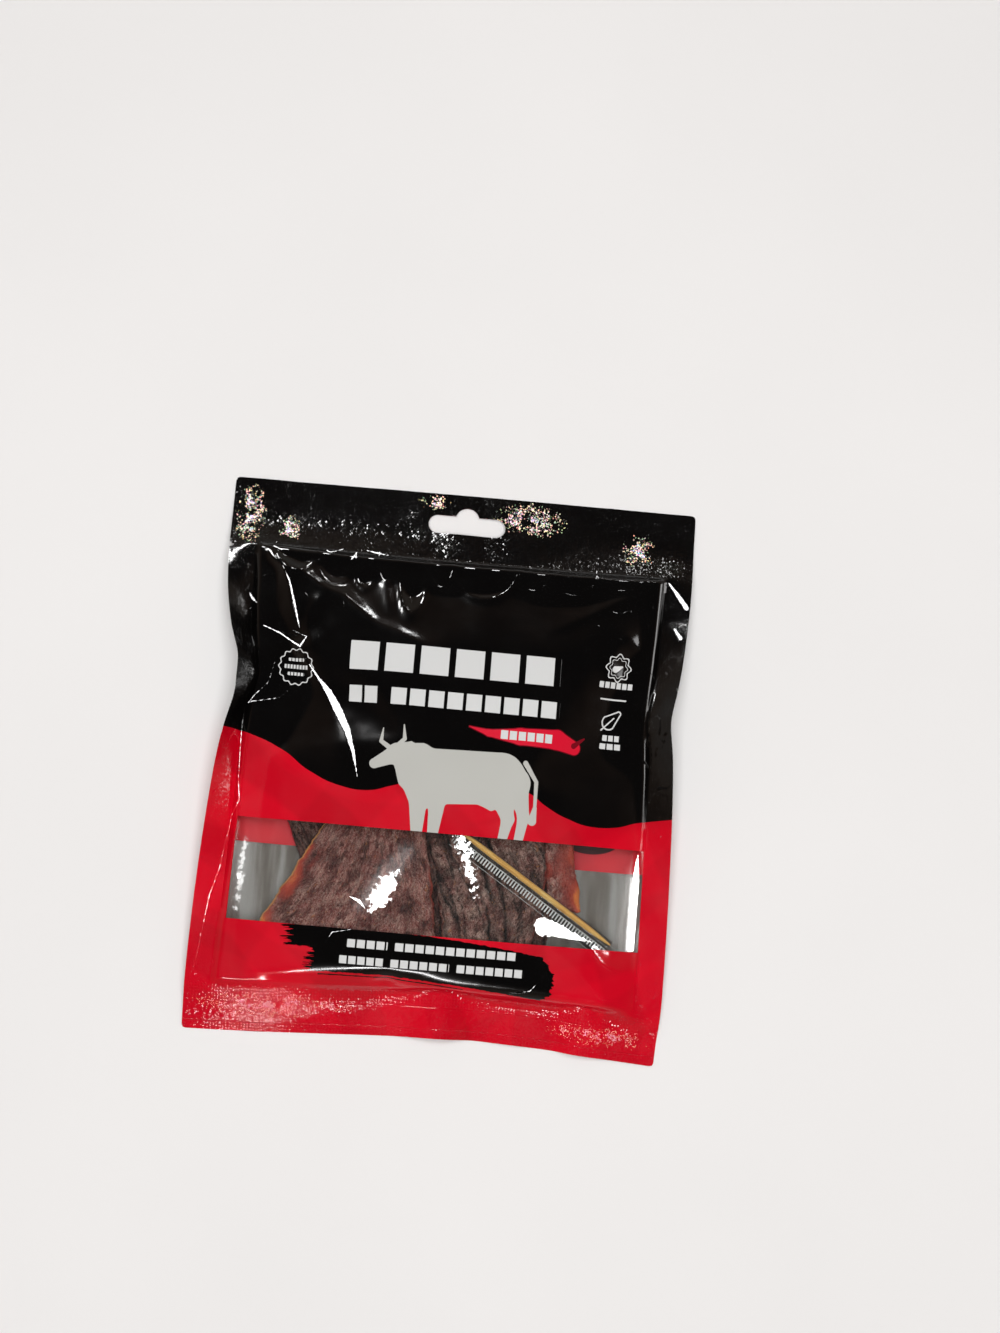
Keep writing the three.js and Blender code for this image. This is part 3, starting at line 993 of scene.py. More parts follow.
HORNS_AND_TAIL = (
    ((-17.4, 3.6), (-14.7, 6.6), 0.85, 0.7), ((-14.7, 6.6), (-15.3, 11.4), 0.7, 0.2),
    ((-19.6, 3.2), (-22.8, 5.2), 0.85, 0.7), ((-22.8, 5.2), (-22.6, 9.8), 0.7, 0.2),
    ((27.6, 2.0), (31.8, -4), 0.9, 0.7), ((31.8, -4), (32, -13.5), 0.7, 0.55),
    ((32, -13), (31.4, -17.5), 0.7, 1.5),
)
CHILLI = (
    ((7.2, 12.9), (14, 11.3), 0.25, 1.2), ((14, 11.3), (25, 11.0), 1.2, 2.9),
    ((25, 11.0), (38, 11.2), 2.9, 3.4), ((38, 11.2), (44.8, 9.0), 3.4, 2.4),
)
CHILLI_STALK = ((44.6, 9.8), (48.2, 12.6), 1.0, 0.35)
COW_FLOW, CHILLI_FLOW, CHILLI_LINE = 1.6, 1.0, 0.3
# centre and half size of each row of plain blocks, then the blocks' pitch and the gap
BLOCK_ROWS = (
    ((0.6, 34.6), (36.8, 5.0), 12.27, 2.3), ((-30.6, 21.2), (5.4, 2.9), 5.6, 1.0),
    ((8.6, 21.2), (29.4, 2.9), 6.54, 1.2), ((-20.9, -63.6), (6.9, 1.35), 3.35, 0.65),
    ((9.4, -63.6), (20.9, 1.35), 3.5, 0.65), ((-22.5, -69.2), (7.5, 1.35), 3.1, 0.6),
    ((-2.5, -69.2), (10.0, 1.35), 3.3, 0.65), ((21.6, -69.2), (11.5, 1.35), 3.3, 0.65),
    ((-56, 31.5), (2.9, 0.55), 1.3, 0.35), ((-56, 29), (4.3, 0.7), 1.1, 0.35),
    ((-56, 26.5), (3.0, 0.55), 1.2, 0.35), ((58.2, 32.4), (6.4, 1.05), 2.2, 0.5),
    ((58.4, 13.9), (3.2, 1.0), 2.2, 0.5), ((58.4, 11.0), (4.0, 1.0), 2.7, 0.55),
    ((27.4, 11.2), (9.2, 1.5), 3.1, 0.6),
)
BLOCK_CORNER = 0.3
# centre, radius, number of petals, their depth, and width of the line
RINGS = (
    ((-56, 29), 6.1, 14, 0.32, 0.42),
    ((58.4, 38.6), 4.4, 8, 0.5, 0.45),
    ((58.4, 38.6), 3.2, 8, 0.36, 0.25),
)
DIVIDER = ((57.8, 27.4), (5.0, 0.28), 0.25)
STAR_LEAF = ((57.2, 38), (59.8, 39.2), 1.2, 0.3)
LEAF, LEAF_LINE = ((57.0, 19.4), (60.4, 22.6), 2.5, 0.8), 0.5
LEAF_RIB = ((54.4, 16.6), (58.8, 21.0), 0.28, 0.22)


# %% Fields of colour
def pattern_place(tree):
    """The place on the flat pattern, in mm."""
    flat = node_of("ShaderNodeUVMap", tree=tree, uv_map="flat").outputs[0]
    return scaled(vectors("SUBTRACT", flat, (0.5, 0.5, 0)), CHART / MM)


def wave_height(x):
    """How high the wavy line is at x, by a smooth curve through its points."""
    start, end = WAVE_LINE[0][0], WAVE_LINE[-1][0]
    share = times_plus(x, 1 / (end - start), -start / (end - start))
    curve_node = node_of("ShaderNodeFloatCurve", {"Value": share})
    curve = curve_node.mapping.curves[0]
    spots = [((px - start) / (end - start), (py - WAVE_LOW) / (WAVE_HIGH - WAVE_LOW))
             for px, py in WAVE_LINE]
    curve.points[0].location = spots[0]
    curve.points[1].location = spots[-1]
    for spot in spots[1:-1]:
        curve.points.new(*spot)
    curve_node.mapping.update()
    return times_plus(curve_node.outputs[0], WAVE_HIGH - WAVE_LOW, WAVE_LOW)


# centre, spacing and darkness of the arcs in the red ink
ARCS = (((-118, -128), 31, 0.15), ((96, -146), 43, 0.13), ((-20, 66), 27, 0.1))
ARC_BEND, ARC_BEND_SIZE = 16, 38
# the part of a sine wave over which its upper half is faded in
SHARP_HALF = (-0.1, 0.35)


def red_field(at):
    """The red ink, with broad arcs one shade darker that cross each other."""
    bent = vectors("ADD", at, scaled(noise_colour(at, 1 / ARC_BEND_SIZE), ARC_BEND))
    shade = 0.0
    for centre, spacing, dark in ARCS:
        reach = vectors("LENGTH", vectors("SUBTRACT", bent, (*centre, 0)))
        turn = maths("SINE", times(reach, TURN / spacing))
        shade = times_plus(rescale(turn, *SHARP_HALF), dark, shade)
    return blend_colours(shade, RED_INK, DEEP_RED_INK)


def base_colours(at):
    """Black above the wavy line and red below it."""
    x, y = x_and_y(at)
    below = mask_of(minus(y, wave_height(x)))
    return blend_colours(below, BLACK_INK, red_field(at))


def scalloped_ring(at, centre, radius, petals, depth, line):
    """A ring whose edge goes in and out, as round a seal."""
    offset = vectors("SUBTRACT", at, (*centre, 0))
    x, y = x_and_y(offset)
    lobes = maths("COSINE", times(maths("ARCTAN2", y, x), petals))
    edge = times_plus(lobes, depth, radius)
    return outline(minus(vectors("LENGTH", offset), edge), line)


def block_row(at, centre, half, pitch, gap):
    """A bar cut into blocks."""
    row = bar(at, centre, half, min(BLOCK_CORNER, half[1]))
    from_left = minus(x_and_y(at)[0], centre[0] - half[0] - gap / 2)
    return larger(row, minus(gap / 2, maths("PINGPONG", from_left, pitch / 2)))


def pale_marks(at):
    """The distances of all that is printed in the palest ink."""
    for row in BLOCK_ROWS:
        yield block_row(at, *row)
    yield bar(at, *DIVIDER)
    for ring in RINGS:
        yield scalloped_ring(at, *ring)
    yield stroke(at, *STAR_LEAF)
    yield outline(stroke(at, *LEAF), LEAF_LINE)
    yield stroke(at, *LEAF_RIB)


# ends of the brush stroke's lobes, its edges, and the height that it is drawn at, in mm
UPPER_LOBE, LOWER_LOBE, BLUNT_END = -48.5, -40.5, 43.6
BRUSH_TOP, BRUSH_FOOT = 8.1, 7.2
LOBE_OVERLAP = (1.2, 2.4)
BRUSH_MIDDLE = 67.3
BRUSH_BOW = (0.0011, 0.055)
BRUSH_BULGE = 0.07
# length and width of the bristle marks, seed of their noise, and how far they fray an edge
LEFT_BRISTLES = (9, 0.8, 3.1, 17.0)
RIGHT_BRISTLES = (5, 1.6, 7.7, 6.0)
SIDE_BRISTLES = (2.2, 2.0, 5.2, 1.1)
STREAK = ((-12, -BRUSH_FOOT - 1.0), (25, 0.22), 0.2)


def brush_stroke(at):
    """A broad stroke of black, split into bristle marks at its ends."""
    x, y = x_and_y(at)
    bow = times(times_plus(x, *BRUSH_BOW), x)
    across = plus(plus(y, BRUSH_MIDDLE), bow)
    laid = vector_of(x, across)

    def frayed(length, width, seed, far):
        spot = mapped(laid, location=(seed, seed, 0), scale=(1 / length, 1 / width, 1))
        return times(minus(noise_of(spot, 1.0, 3.0, 0.6), 0.5), far)

    left_rag, right_rag = frayed(*LEFT_BRISTLES), frayed(*RIGHT_BRISTLES)
    side_rag = frayed(*SIDE_BRISTLES)
    right = minus(plus(x, right_rag), BLUNT_END)
    corner = times_plus(maths("POWER", unsigned(across), 2.0), BRUSH_BULGE, right)

    def lobe(left_end, low, high):
        left = minus(plus(left_rag, left_end), x)
        sides = larger(minus(across, high), minus(low, across))
        return joined([left, corner, plus(sides, side_rag)], "MAXIMUM")

    streak = times_plus(side_rag, 0.5, bar(laid, *STREAK))
    upper = lobe(UPPER_LOBE, LOBE_OVERLAP[0], BRUSH_TOP)
    return joined([upper, lobe(LOWER_LOBE, -BRUSH_FOOT, LOBE_OVERLAP[1]), streak])


def front_colours(at):
    """The whole front print, layer on layer."""
    colour = base_colours(at)
    cow = melted(COW, at, COW_FLOW)
    cow = joined((stroke(at, *part) for part in HORNS_AND_TAIL), total=cow)
    colour = blend_colours(mask_of(cow), colour, COW_INK)
    chilli = melted(CHILLI, at, CHILLI_FLOW)
    stalk = stroke(at, *CHILLI_STALK)
    colour = blend_colours(mask_of(chilli), colour, CHILLI_INK)
    line = joined([stalk, outline(chilli, CHILLI_LINE)])
    colour = blend_colours(mask_of(line), colour, CHILLI_LINE_INK)
    colour = blend_colours(mask_of(brush_stroke(at)), colour, BLACK_INK)
    return blend_colours(mask_of(joined(pale_marks(at))), colour, PALE_INK)


print("rows of blocks on the print:", len(BLOCK_ROWS))

# %% [markdown]
# ## The film's surface
#
# The laminate is glossy, with a very slight unevenness that makes reflections waver. The
# welded borders carry the pattern of the welding jaws: fine diagonal hatching at the header
# and the sides, and rows of small dots along the foot. These are far too fine for the mesh,
# so they are bump, in mm.

# %% Relief of the film
HATCH_PITCH = 0.75
HATCH_DEPTH = 0.012
DOT_PITCH = 1.05
DOT_DEPTH = 0.045
PRESSED = 0.05
CELL_TILT = 0.12
SEAM_BLUR = 0.5
# the plain band between the rows of dots along the foot, and how rough and faint things are
UPPER_DOTS, LOWER_DOTS = (-87.4, -87.0), (-94.6, -94.2)
CRUSHED = 0.3
FAINT_SIDES = 0.35
FILM_WAVER = 0.05


def cushions(first, second, pitch):
    """Rows of tiny cushions with creases between them, from 0 to 1."""
    one, two = (unsigned(maths("SINE", times(way, math.pi / pitch))) for way in (first, second))
    return times(one, two)


def uneven_cells(first, second, pitch):
    """Each small cell of the weld leans its own way, so that only some catch a lamp."""
    spot = vector_of(maths("DIVIDE", first, pitch), maths("DIVIDE", second, pitch))
    lean = vectors("SUBTRACT", cell_colour(spot), (0.5, 0.5, 0.5))
    local = vectors("SUBTRACT", vectors("FRACTION", spot), (0.5, 0.5, 0))
    return times(vectors("DOT_PRODUCT", lean, local), pitch * CELL_TILT)


def welded(first, second, pitch, depth):
    """Cushions of some depth, each leaning its own way."""
    return times_plus(cushions(first, second, pitch), depth, uneven_cells(first, second, pitch))


def weld_relief(at):
    """Height of the weld pattern, in mm."""
    x, y = x_and_y(at)
    rising, falling = plus(x, y), minus(x, y)
    hatching = welded(rising, falling, HATCH_PITCH * math.sqrt(2), HATCH_DEPTH)
    dots = welded(x, y, DOT_PITCH, DOT_DEPTH)
    sides = rescale(unsigned(x), SIDE_SEAM / MM, SIDE_SEAM / MM + SEAM_BLUR)
    header = rescale(y, HEAD_SEAM / MM, HEAD_SEAM / MM + SEAM_BLUR)
    foot = rescale(y, FOOT_SEAM / MM - SEAM_BLUR, FOOT_SEAM / MM, 1.0, 0.0)
    upper_dots = rescale(y, *UPPER_DOTS)
    lower_dots = rescale(y, *LOWER_DOTS, 1.0, 0.0)
    dotted = times(foot, larger(upper_dots, lower_dots))
    crushed = times(noise_of(at, 0.5, 3.0), CRUSHED)
    crushed = times(crushed, minus(foot, dotted, clamp=True))
    hatched = minus(larger(times(sides, FAINT_SIDES), header), foot, clamp=True)
    total = times_plus(hatching, hatched, times(dots, dotted))
    pressed = joined([sides, header, foot], "MAXIMUM")
    return plus(times_plus(pressed, -PRESSED, total), crushed)


# %% [markdown]
# ## Folds that flash
#
# Taut glossy film shows light as thin white lines: each sharp fold has a face, half a
# millimetre wide, that happens to look straight at a lamp. The big folds are in the mesh, but
# its cells are over a millimetre wide, so a face that narrow can't be. Here the shader turns
# the surface direction, along drawn lines, to the way such a face looks. It still takes a
# real lamp to make it flash, and seen from elsewhere it goes dark, as film does. The welds
# flash too, in patches: there each small cell of the pattern looks its own way, near to one
# that mirrors the lamp, and splits its light a little into colours.

# %% Narrow faces of folds, and shiny patches of the welds
# the way a fold's face looks, then for each such fold places and half widths, in mm
FOLDS = (
    ((-0.145, 0.26, 0.955), (
        ((-52.9, 32.5, 0.15), (-47.3, 25.3, 0.6), (-43.4, 20.8, 1.2), (-39.4, 14.8, 1.5),
         (-35.3, 8.2, 1.2), (-32.2, 0.9, 0.7), (-29.5, -8.6, 0.15)),
    )),
    ((-0.126, 0.226, 0.966), (
        ((-63.2, 65.1, 0.15), (-59.8, 59.0, 0.4), (-57.2, 50.6, 0.5), (-55.1, 43.0, 0.3)),
        ((-68.6, 42.7, 0.3), (-62.1, 40.5, 0.4), (-54.7, 36.2, 0.45), (-52.3, 39.9, 0.3),
         (-57.4, 41.9, 0.2)),
        ((-74.6, 55.3, 0.2), (-73.3, 52.9, 0.6), (-71.3, 50.9, 0.2)),
        ((-63.9, 30.4, 0.2), (-65.6, 22.8, 0.2), (-72.5, 15.1, 0.35), (-60.9, 17.9, 0.2),
         (-57.1, 21.8, 0.1)),
        ((-34.0, 73.8, 0.25), (-30.0, 73.1, 0.5), (-25.7, 72.5, 0.25)),
        ((-66.7, 71.5, 0.3), (-63.7, 70.3, 0.3)),
    )),
    ((-0.105, 0.308, 0.946), (
        ((-73.4, 14.0, 0.35), (-71.8, -11.8, 0.25), (-70.4, -18.6, 0.3), (-72.9, -24.0, 0.2),
         (-75.1, -43.2, 0.22), (-77.2, -51.9, 0.3), (-79.5, -75.9, 0.2)),
    )),
    ((-0.279, 0.194, 0.94), (
        ((73.3, 71.9, 0.2), (77.5, 67.3, 0.8), (81.2, 62.9, 1.0)),
        ((77.8, 55.0, 0.5), (80.4, 51.7, 0.8)),
    )),
    ((-0.185, 0.336, 0.923), (
        ((-35.8, -64.8, 0.1), (-33.2, -60.5, 0.3), (-26.2, -58.9, 0.12)),
        ((29.0, -76.3, 0.1), (35.8, -74.7, 0.3), (40.4, -68.9, 0.12)),
        ((9.1, -55.6, 0.12), (15.6, -56.1, 0.3), (22.1, -55.9, 0.12)),
    )),
)
FOLD_BLUR = 0.5
FOLD_RAG = 0.3
FLAT = (0, 0, 1)
RIM_FACES = ((-0.12, 0.2, 0.97), (-0.275, 0.185, 0.943))
RIM_LINE = 0.16
RIM_OVER = 1.2
RIM_SPAN = 150
# noise from and to which a rim is faded in, and how bright it then is
SEEN_PARTS = (0.46, 0.6, 0.0, 0.9)
WRINKLE_SCALE = 0.055
WRINKLE_SLOPE = 0.035
# how far out the film is smooth, where a place's height counts for this share of its width
SMOOTH_FROM, SMOOTH_TO, HEIGHT_SHARE = 58, 74, 0.6
SEAM_LINE = ((-68, 70.6, 0), (-20, 70.3, 0), (25, 69.9, 0), (66, 70.1, 0))
# the way the patch looks on average, its centre and half size in mm, and its brightness
SHINY_PATCHES = (
    ((-0.113, 0.192, 0.975), (-76, 84), (6, 13), 1.0),
    ((-0.13, 0.193, 0.973), (-61.5, 80), (4.5, 6.5), 0.8),
    ((-0.202, 0.173, 0.964), (-11.5, 94.3), (6.5, 3), 0.8),
    ((-0.233, 0.175, 0.956), (23, 90.5), (15, 7), 1.0),
    ((-0.266, 0.179, 0.947), (62.7, 82.5), (6.5, 7), 0.8),
    ((-0.115, 0.364, 0.924), (-52, -88), (32, 5), 0.3),
    ((-0.246, 0.352, 0.903), (62, -90), (22, 4), 0.3),
)
PATCH_SCATTER = 0.12
PATCH_CLOUDS = (0.36, 0.64, 0.0, 1.25)
PATCH_EDGE = 0.06
DIM = 0.5
SPARK_PITCH = 0.5
SPARK_BLUR = 0.1
SPARK_TINT = 0.6
SPARK_COLOURS = (1.5, 1.1, 1.6)


def turned(normal, towards, share):
    """A surface direction that is turned towards another one by some share."""
    world = node_of(
        "ShaderNodeVectorTransform", {0: towards}, vector_type="NORMAL",
        convert_from="OBJECT", convert_to="WORLD",
    ).outputs[0]
    return vectors("NORMALIZE", blend_vectors(share, normal, world))


def near_line(at, line, gap=None):
    """Distance from a line of (x, y, half width) points, or from what is nearer than it."""
    stretches = zip(line, line[1:])
    return joined((stroke(at, a[:2], b[:2], a[2], b[2]) for a, b in stretches), total=gap)


def drawn_folds(at, towards, share):
    """Turn the direction along each drawn fold."""
    ragged = times_plus(noise_of(at, 0.9, 2.0), 2 * FOLD_RAG, -FOLD_RAG)
    for face, lines in FOLDS:
        gap = None
        for line in lines:
            gap = near_line(at, line, gap)
        lit = mask_of(plus(gap, ragged), FOLD_BLUR)
        towards = blend_vectors(lit, towards, face)
        share = larger(share, lit)
    return towards, share


def rims_and_wrinkles(at, towards, share):
    """Turn it along the seam, on the rims of the scallops and on fine wrinkles."""
    gap = near_line(at, SEAM_LINE)
    for left, right, length, _ in SCALLOPS:
        half = (right - left) / 2
        reach = oval_reach(at, ((left + right) / 2, HEAD_SEAM / MM), (half, length))
        off_rim = times(unsigned(minus(reach, 1.0)), min(half, length))
        gap = maths("MINIMUM", gap, off_rim)
    x, y = x_and_y(at)
    under_header = maths("LESS_THAN", y, HEAD_SEAM / MM + RIM_OVER)
    rim_face = blend_vectors(times_plus(x, 1 / RIM_SPAN, 0.5, clamp=True), *RIM_FACES)
    parts_seen = rescale(noise_of(at, 0.2, 2.0), *SEEN_PARTS)
    wrinkle = minus(noise_of(at, WRINKLE_SCALE, 1.0, 0.5, 0.6), 0.5)
    wrinkle = maths("DIVIDE", unsigned(wrinkle), WRINKLE_SLOPE)
    corners = times_plus(y, HEIGHT_SHARE, unsigned(x))
    smooth_part = rescale(corners, SMOOTH_FROM, SMOOTH_TO, 1.0, 0.0)
    gap = maths("MINIMUM", gap, plus(wrinkle, smooth_part))
    lit = mask_of(minus(gap, RIM_LINE), RIM_LINE)
    lit = times(lit, times(under_header, parts_seen))
    return blend_vectors(lit, towards, rim_face), larger(share, lit)


def sparkles(at, towards, share):
    """Turn it in the welds' shiny patches, cell by cell, and give the light's tint there."""
    x, y = x_and_y(at)
    cells = cell_colour(scaled(vector_of(plus(x, y), minus(x, y)), 1 / SPARK_PITCH))
    scatter = scaled(vectors("SUBTRACT", cells, (0.5, 0.5, 0.5)), PATCH_SCATTER)
    gate = node_of("ShaderNodeSeparateXYZ", {0: cells}).outputs[2]
    cloudy = rescale(noise_of(at, 0.25, 4.0, 0.6), *PATCH_CLOUDS)
    sparkle, bright = 0.0, 1.0
    for face, centre, half, brightness in SHINY_PATCHES:
        inside = minus(1.0, oval_reach(at, centre, half), clamp=True)
        reach = times(inside, cloudy)
        lit = mask_of(minus(gate, reach), SPARK_BLUR)
        lit = times(lit, maths("GREATER_THAN", reach, PATCH_EDGE))
        towards = blend_vectors(lit, towards, vectors("ADD", scatter, face))
        sparkle = larger(sparkle, lit)
        if brightness < DIM:
            bright = times_plus(lit, brightness - 1, bright)
    share = larger(share, sparkle)
    coloured = vectors("MULTIPLY", cells, SPARK_COLOURS)
    tint = blend_colours(times(sparkle, SPARK_TINT), WHITE, coloured)
    return towards, share, scaled(tint, bright)


def folded(at, normal):
    """The film's direction with the narrow faces of its folds and the patches of its welds."""
    towards, share = drawn_folds(at, FLAT, 0.0)
    towards, share = rims_and_wrinkles(at, towards, share)
    towards, share, tint = sparkles(at, towards, share)
    return turned(normal, towards, share), tint


def plain(at, normal):
    return normal, WHITE


SMUDGES, SMUDGE_ROUGHNESS = (0.35, 0.7), 0.07
FILM_IOR = 1.5


def film_finish(material, colours, roughness, folds=plain):
    """The gloss of printed laminate over a given print."""
    tree, shader = shader_of(material)
    at = pattern_place(tree)
    put(shader["Base Color"], colours(at))
    smudges = noise_of(at, 0.06, 3.0)
    smudged = rescale(smudges, *SMUDGES, roughness, roughness + SMUDGE_ROUGHNESS)
    put(shader["Roughness"], smudged)
    put(shader["IOR"], FILM_IOR)
    waver = times(noise_of(at, 0.1, 2.0), FILM_WAVER)
    normal, tint = folds(at, bumped(plus(waver, weld_relief(at))))
    put(shader["Normal"], normal)
    put(shader["Specular Tint"], tint)
    print(material.name, "has", len(tree.nodes), "nodes")


# where the black print of the back hangs lowest: its middle and its half size, in mm
INNER_DIP = ((53.4, -21.2), (10.4, 5.4))
DIP_EDGE = 0.03
MILKY_LAYER, MILKINESS = paint(236, 150, 155), 0.06


def inside_colours(at):
    """The print seen from inside, through the milky sealing layer."""
    dip = mask_of(minus(oval_reach(at, *INNER_DIP), 1.0), DIP_EDGE)
    print_colours = blend_colours(dip, base_colours(at), BLACK_INK)
    return blend_colours(MILKINESS, print_colours, MILKY_LAYER)


film_finish(front_ink, front_colours, 0.09, folded)
film_finish(back_ink, base_colours, 0.11)
film_finish(inner_ink, inside_colours, 0.3)

# %% [markdown]
# ## The clear film
#
# The windows are the same laminate without ink. Film this thin doesn't bend what is seen
# through it, so a plain transparent shader is right, and real refraction would only add
# noise. On top of it comes the gloss that every film has, stronger at grazing angles, and a
# trace of haze from rubbing. Its glare is made as on the folds: ragged patches of it look at
# the lamp. The back window lets through a painted grey, paler and darker in upright streaks:
# painted shade of the dark gap that lies under the pouch on a real table.

# %% Clear film and the sleeve's film
# The colour of the films' haze; on the sleeve's rib crests that milkiness is also painted highlight
# for their glints.
DUST_AND_SHEEN = (0.8, 0.82, 0.82, 1)
STRAIGHT_ON = 0.04


def clear_finish(material, clearness, haze, skin):
    """Transparent, with a glossy skin and a little haze."""
    tree, _ = shader_of(material)
    tree.nodes.remove(tree.nodes["Principled BSDF"])
    normal, roughness = skin(tree)
    haze = haze(tree) if callable(haze) else haze
    clearness = clearness(tree) if callable(clearness) else clearness
    through = node_of("ShaderNodeBsdfTransparent", {"Color": clearness}, tree)
    dust_and_sheen = node_of("ShaderNodeBsdfDiffuse", {"Color": DUST_AND_SHEEN, "Normal": normal})
    gloss = node_of(
        "ShaderNodeBsdfAnisotropic", {"Color": WHITE, "Roughness": roughness, "Normal": normal}
    )
    tilt = node_of("ShaderNodeLayerWeight", {"Blend": 0.5, "Normal": normal}).outputs["Facing"]
    mirror = times_plus(maths("POWER", tilt, 5.0), 1 - STRAIGHT_ON, STRAIGHT_ON)
    veil = {0: haze, 1: through.outputs[0], 2: dust_and_sheen.outputs[0]}
    veil = node_of("ShaderNodeMixShader", veil).outputs[0]
    whole = node_of("ShaderNodeMixShader", {0: mirror, 1: veil, 2: gloss.outputs[0]})
    output = next(node for node in tree.nodes if node.type == "OUTPUT_MATERIAL")
    put(output.inputs[0], whole.outputs[0])
    print(material.name, "has", len(tree.nodes), "nodes")


WINDOW_WAVER, SLEEVE_WAVER = 0.12, 0.05


def window_waver(tree):
    return bumped(times(noise_of(pattern_place(tree), 0.13, 3.0), WINDOW_WAVER))


# the way it looks, softness of its edge, roughness, raggedness, then its line with half widths
WINDOW_GLARE = (
    ((-0.165, 0.31, 0.936), 7.0, 0.6, 3.5,
     ((-25.0, -51.0, 2.5), (-17.0, -41.0, 5.0), (-10.5, -31.5, 3.0))),
    ((-0.167, 0.318, 0.933), 1.6, 0.12, 4.5,
     ((-21.2, -52.3, 1.0), (-18.4, -48.0, 3.3), (-15.8, -43.0, 3.0), (-12.8, -38.0, 0.6))),
    ((-0.167, 0.318, 0.933), 0.5, 0.1, 0.3,
     ((-28.2, -48.2, 0.25), (-25.2, -49.2, 0.7), (-22.6, -52.0, 0.2))),
    ((-0.19, 0.309, 0.932), 1.8, 0.2, 7.0,
     ((6.4, -22.0, 1.3), (9.2, -29.0, 2.3), (11.6, -36.3, 1.8), (14.2, -43.6, 0.5))),
    ((-0.217, 0.323, 0.921), 1.6, 0.14, 1.6,
     ((38.6, -52.6, 3.8), (45.0, -54.0, 2.6), (55.5, -56.6, 0.6))),
    ((-0.25, 0.313, 0.916), 7.0, 0.5, 1.2,
     ((69.0, -23.5, 0.6), (67.8, -36.3, 4.0), (67.4, -58.5, 4.4))),
    ((-0.25, 0.313, 0.916), 1.2, 0.12, 0.6,
     ((70.6, -26.0, 0.7), (70.4, -34.3, 1.9), (69.9, -57.6, 1.8))),
    ((-0.113, 0.319, 0.941), 3.0, 0.34, 3.0,
     ((-66.6, -31.8, 1.4), (-66.8, -44.7, 2.0), (-67.4, -55.9, 1.0))),
    ((-0.113, 0.319, 0.941), 0.5, 0.12, 0.2, ((-67.6, -45.0, 0.4), (-67.4, -44.2, 0.4))),
)
FRONT_GLOSS, BACK_GLOSS, SLEEVE_GLOSS = 0.1, 0.12, 0.14


def front_window_skin(tree):
    """The window's direction and roughness: small faces in the film that mirror a lamp."""
    at = pattern_place(tree)
    normal = window_waver(tree)
    ragged = noise_of(at, 0.55, 4.0, 0.65)
    towards, share, rough = FLAT, 0.0, FRONT_GLOSS
    for face, blur, roughness, stray, line in WINDOW_GLARE:
        gap = near_line(at, line)
        stray = times(minus(ragged, 0.5), 2 * stray)
        lit = mask_of(plus(gap, stray), blur)
        towards = blend_vectors(lit, towards, face)
        change = maths("SUBTRACT", roughness, rough, tree=tree)
        rough = times_plus(change, lit, rough)
        share = larger(share, lit)
    return turned(normal, towards, share), rough


def back_window_skin(tree):
    return window_waver(tree), BACK_GLOSS


# Painted shade for the back window: greys for the dark gap under the pouch, in upright streaks.
FOLD_WIDTH, FOLD_LENGTH = 6, 60
DARK_GREY, PALE_GREY = (0.66, 0.64, 0.62, 1), (0.84, 0.84, 0.835, 1)


def gap_shade_grey(tree):
    """Painted shade for the back window: the grey of the dark gap under the pouch, paler and darker
    in upright streaks as painted shading of folds.
    """
    upright = vectors("MULTIPLY", pattern_place(tree), (1 / FOLD_WIDTH, 1 / FOLD_LENGTH, 0))
    folds = rescale(noise_of(upright, 1.0, 3.0, 0.5, 0.5), 0.3, 0.7)
    return blend_colours(folds, DARK_GREY, PALE_GREY)


def sleeve_skin(tree):
    return bumped(times(noise_of(source_of(tree), 900.0, 2.0), SLEEVE_WAVER)), SLEEVE_GLOSS


RIB_PITCH = 1.15
# how milky the seam is from one share of its width to another, as two shares and two levels
RIBBED_PART = (0.6, 0.7, 0.85, 0.0)
SPINE_PART = (0.06, 0.09, 0.9, 0.0)
EDGE_PART = (0.93, 0.96, 0.0, 0.35)
PATCHES = (0.35, 0.65, 0.7, 1.0)


def seam_haze_and_glint(tree):
    """Milky ribs across the seam, a milky line where they start and a faint one at its edge; the
    ribs' milkiness is also painted highlight for their glints.
    """
    place = source_of(tree)
    along = vectors("DOT_PRODUCT", place, PICK_HEADING)
    turn = maths("SINE", times(along, TURN / (RIB_PITCH * MM)))
    across = attribute_of(tree, "across")
    rib = times(rescale(turn, *SHARP_HALF), rescale(across, *RIBBED_PART))
    spine = rescale(across, *SPINE_PART)
    edge = rescale(across, *EDGE_PART)
    uneven = rescale(noise_of(place, 220.0, 2.0), *PATCHES)
    return times(larger(rib, larger(spine, edge)), uneven)


sleeve_film = bpy.data.materials.new("sleeve_film")
seam_film = bpy.data.materials.new("sleeve_seam_film")
SLEEVE_CLEARNESS = (0.985, 0.985, 0.98, 1)
clear_finish(clear_film, (0.98, 0.985, 0.98, 1), 0.004, front_window_skin)
clear_finish(back_clear_film, gap_shade_grey, 0.01, back_window_skin)
clear_finish(sleeve_film, SLEEVE_CLEARNESS, 0.015, sleeve_skin)
clear_finish(seam_film, SLEEVE_CLEARNESS, seam_haze_and_glint, sleeve_skin)
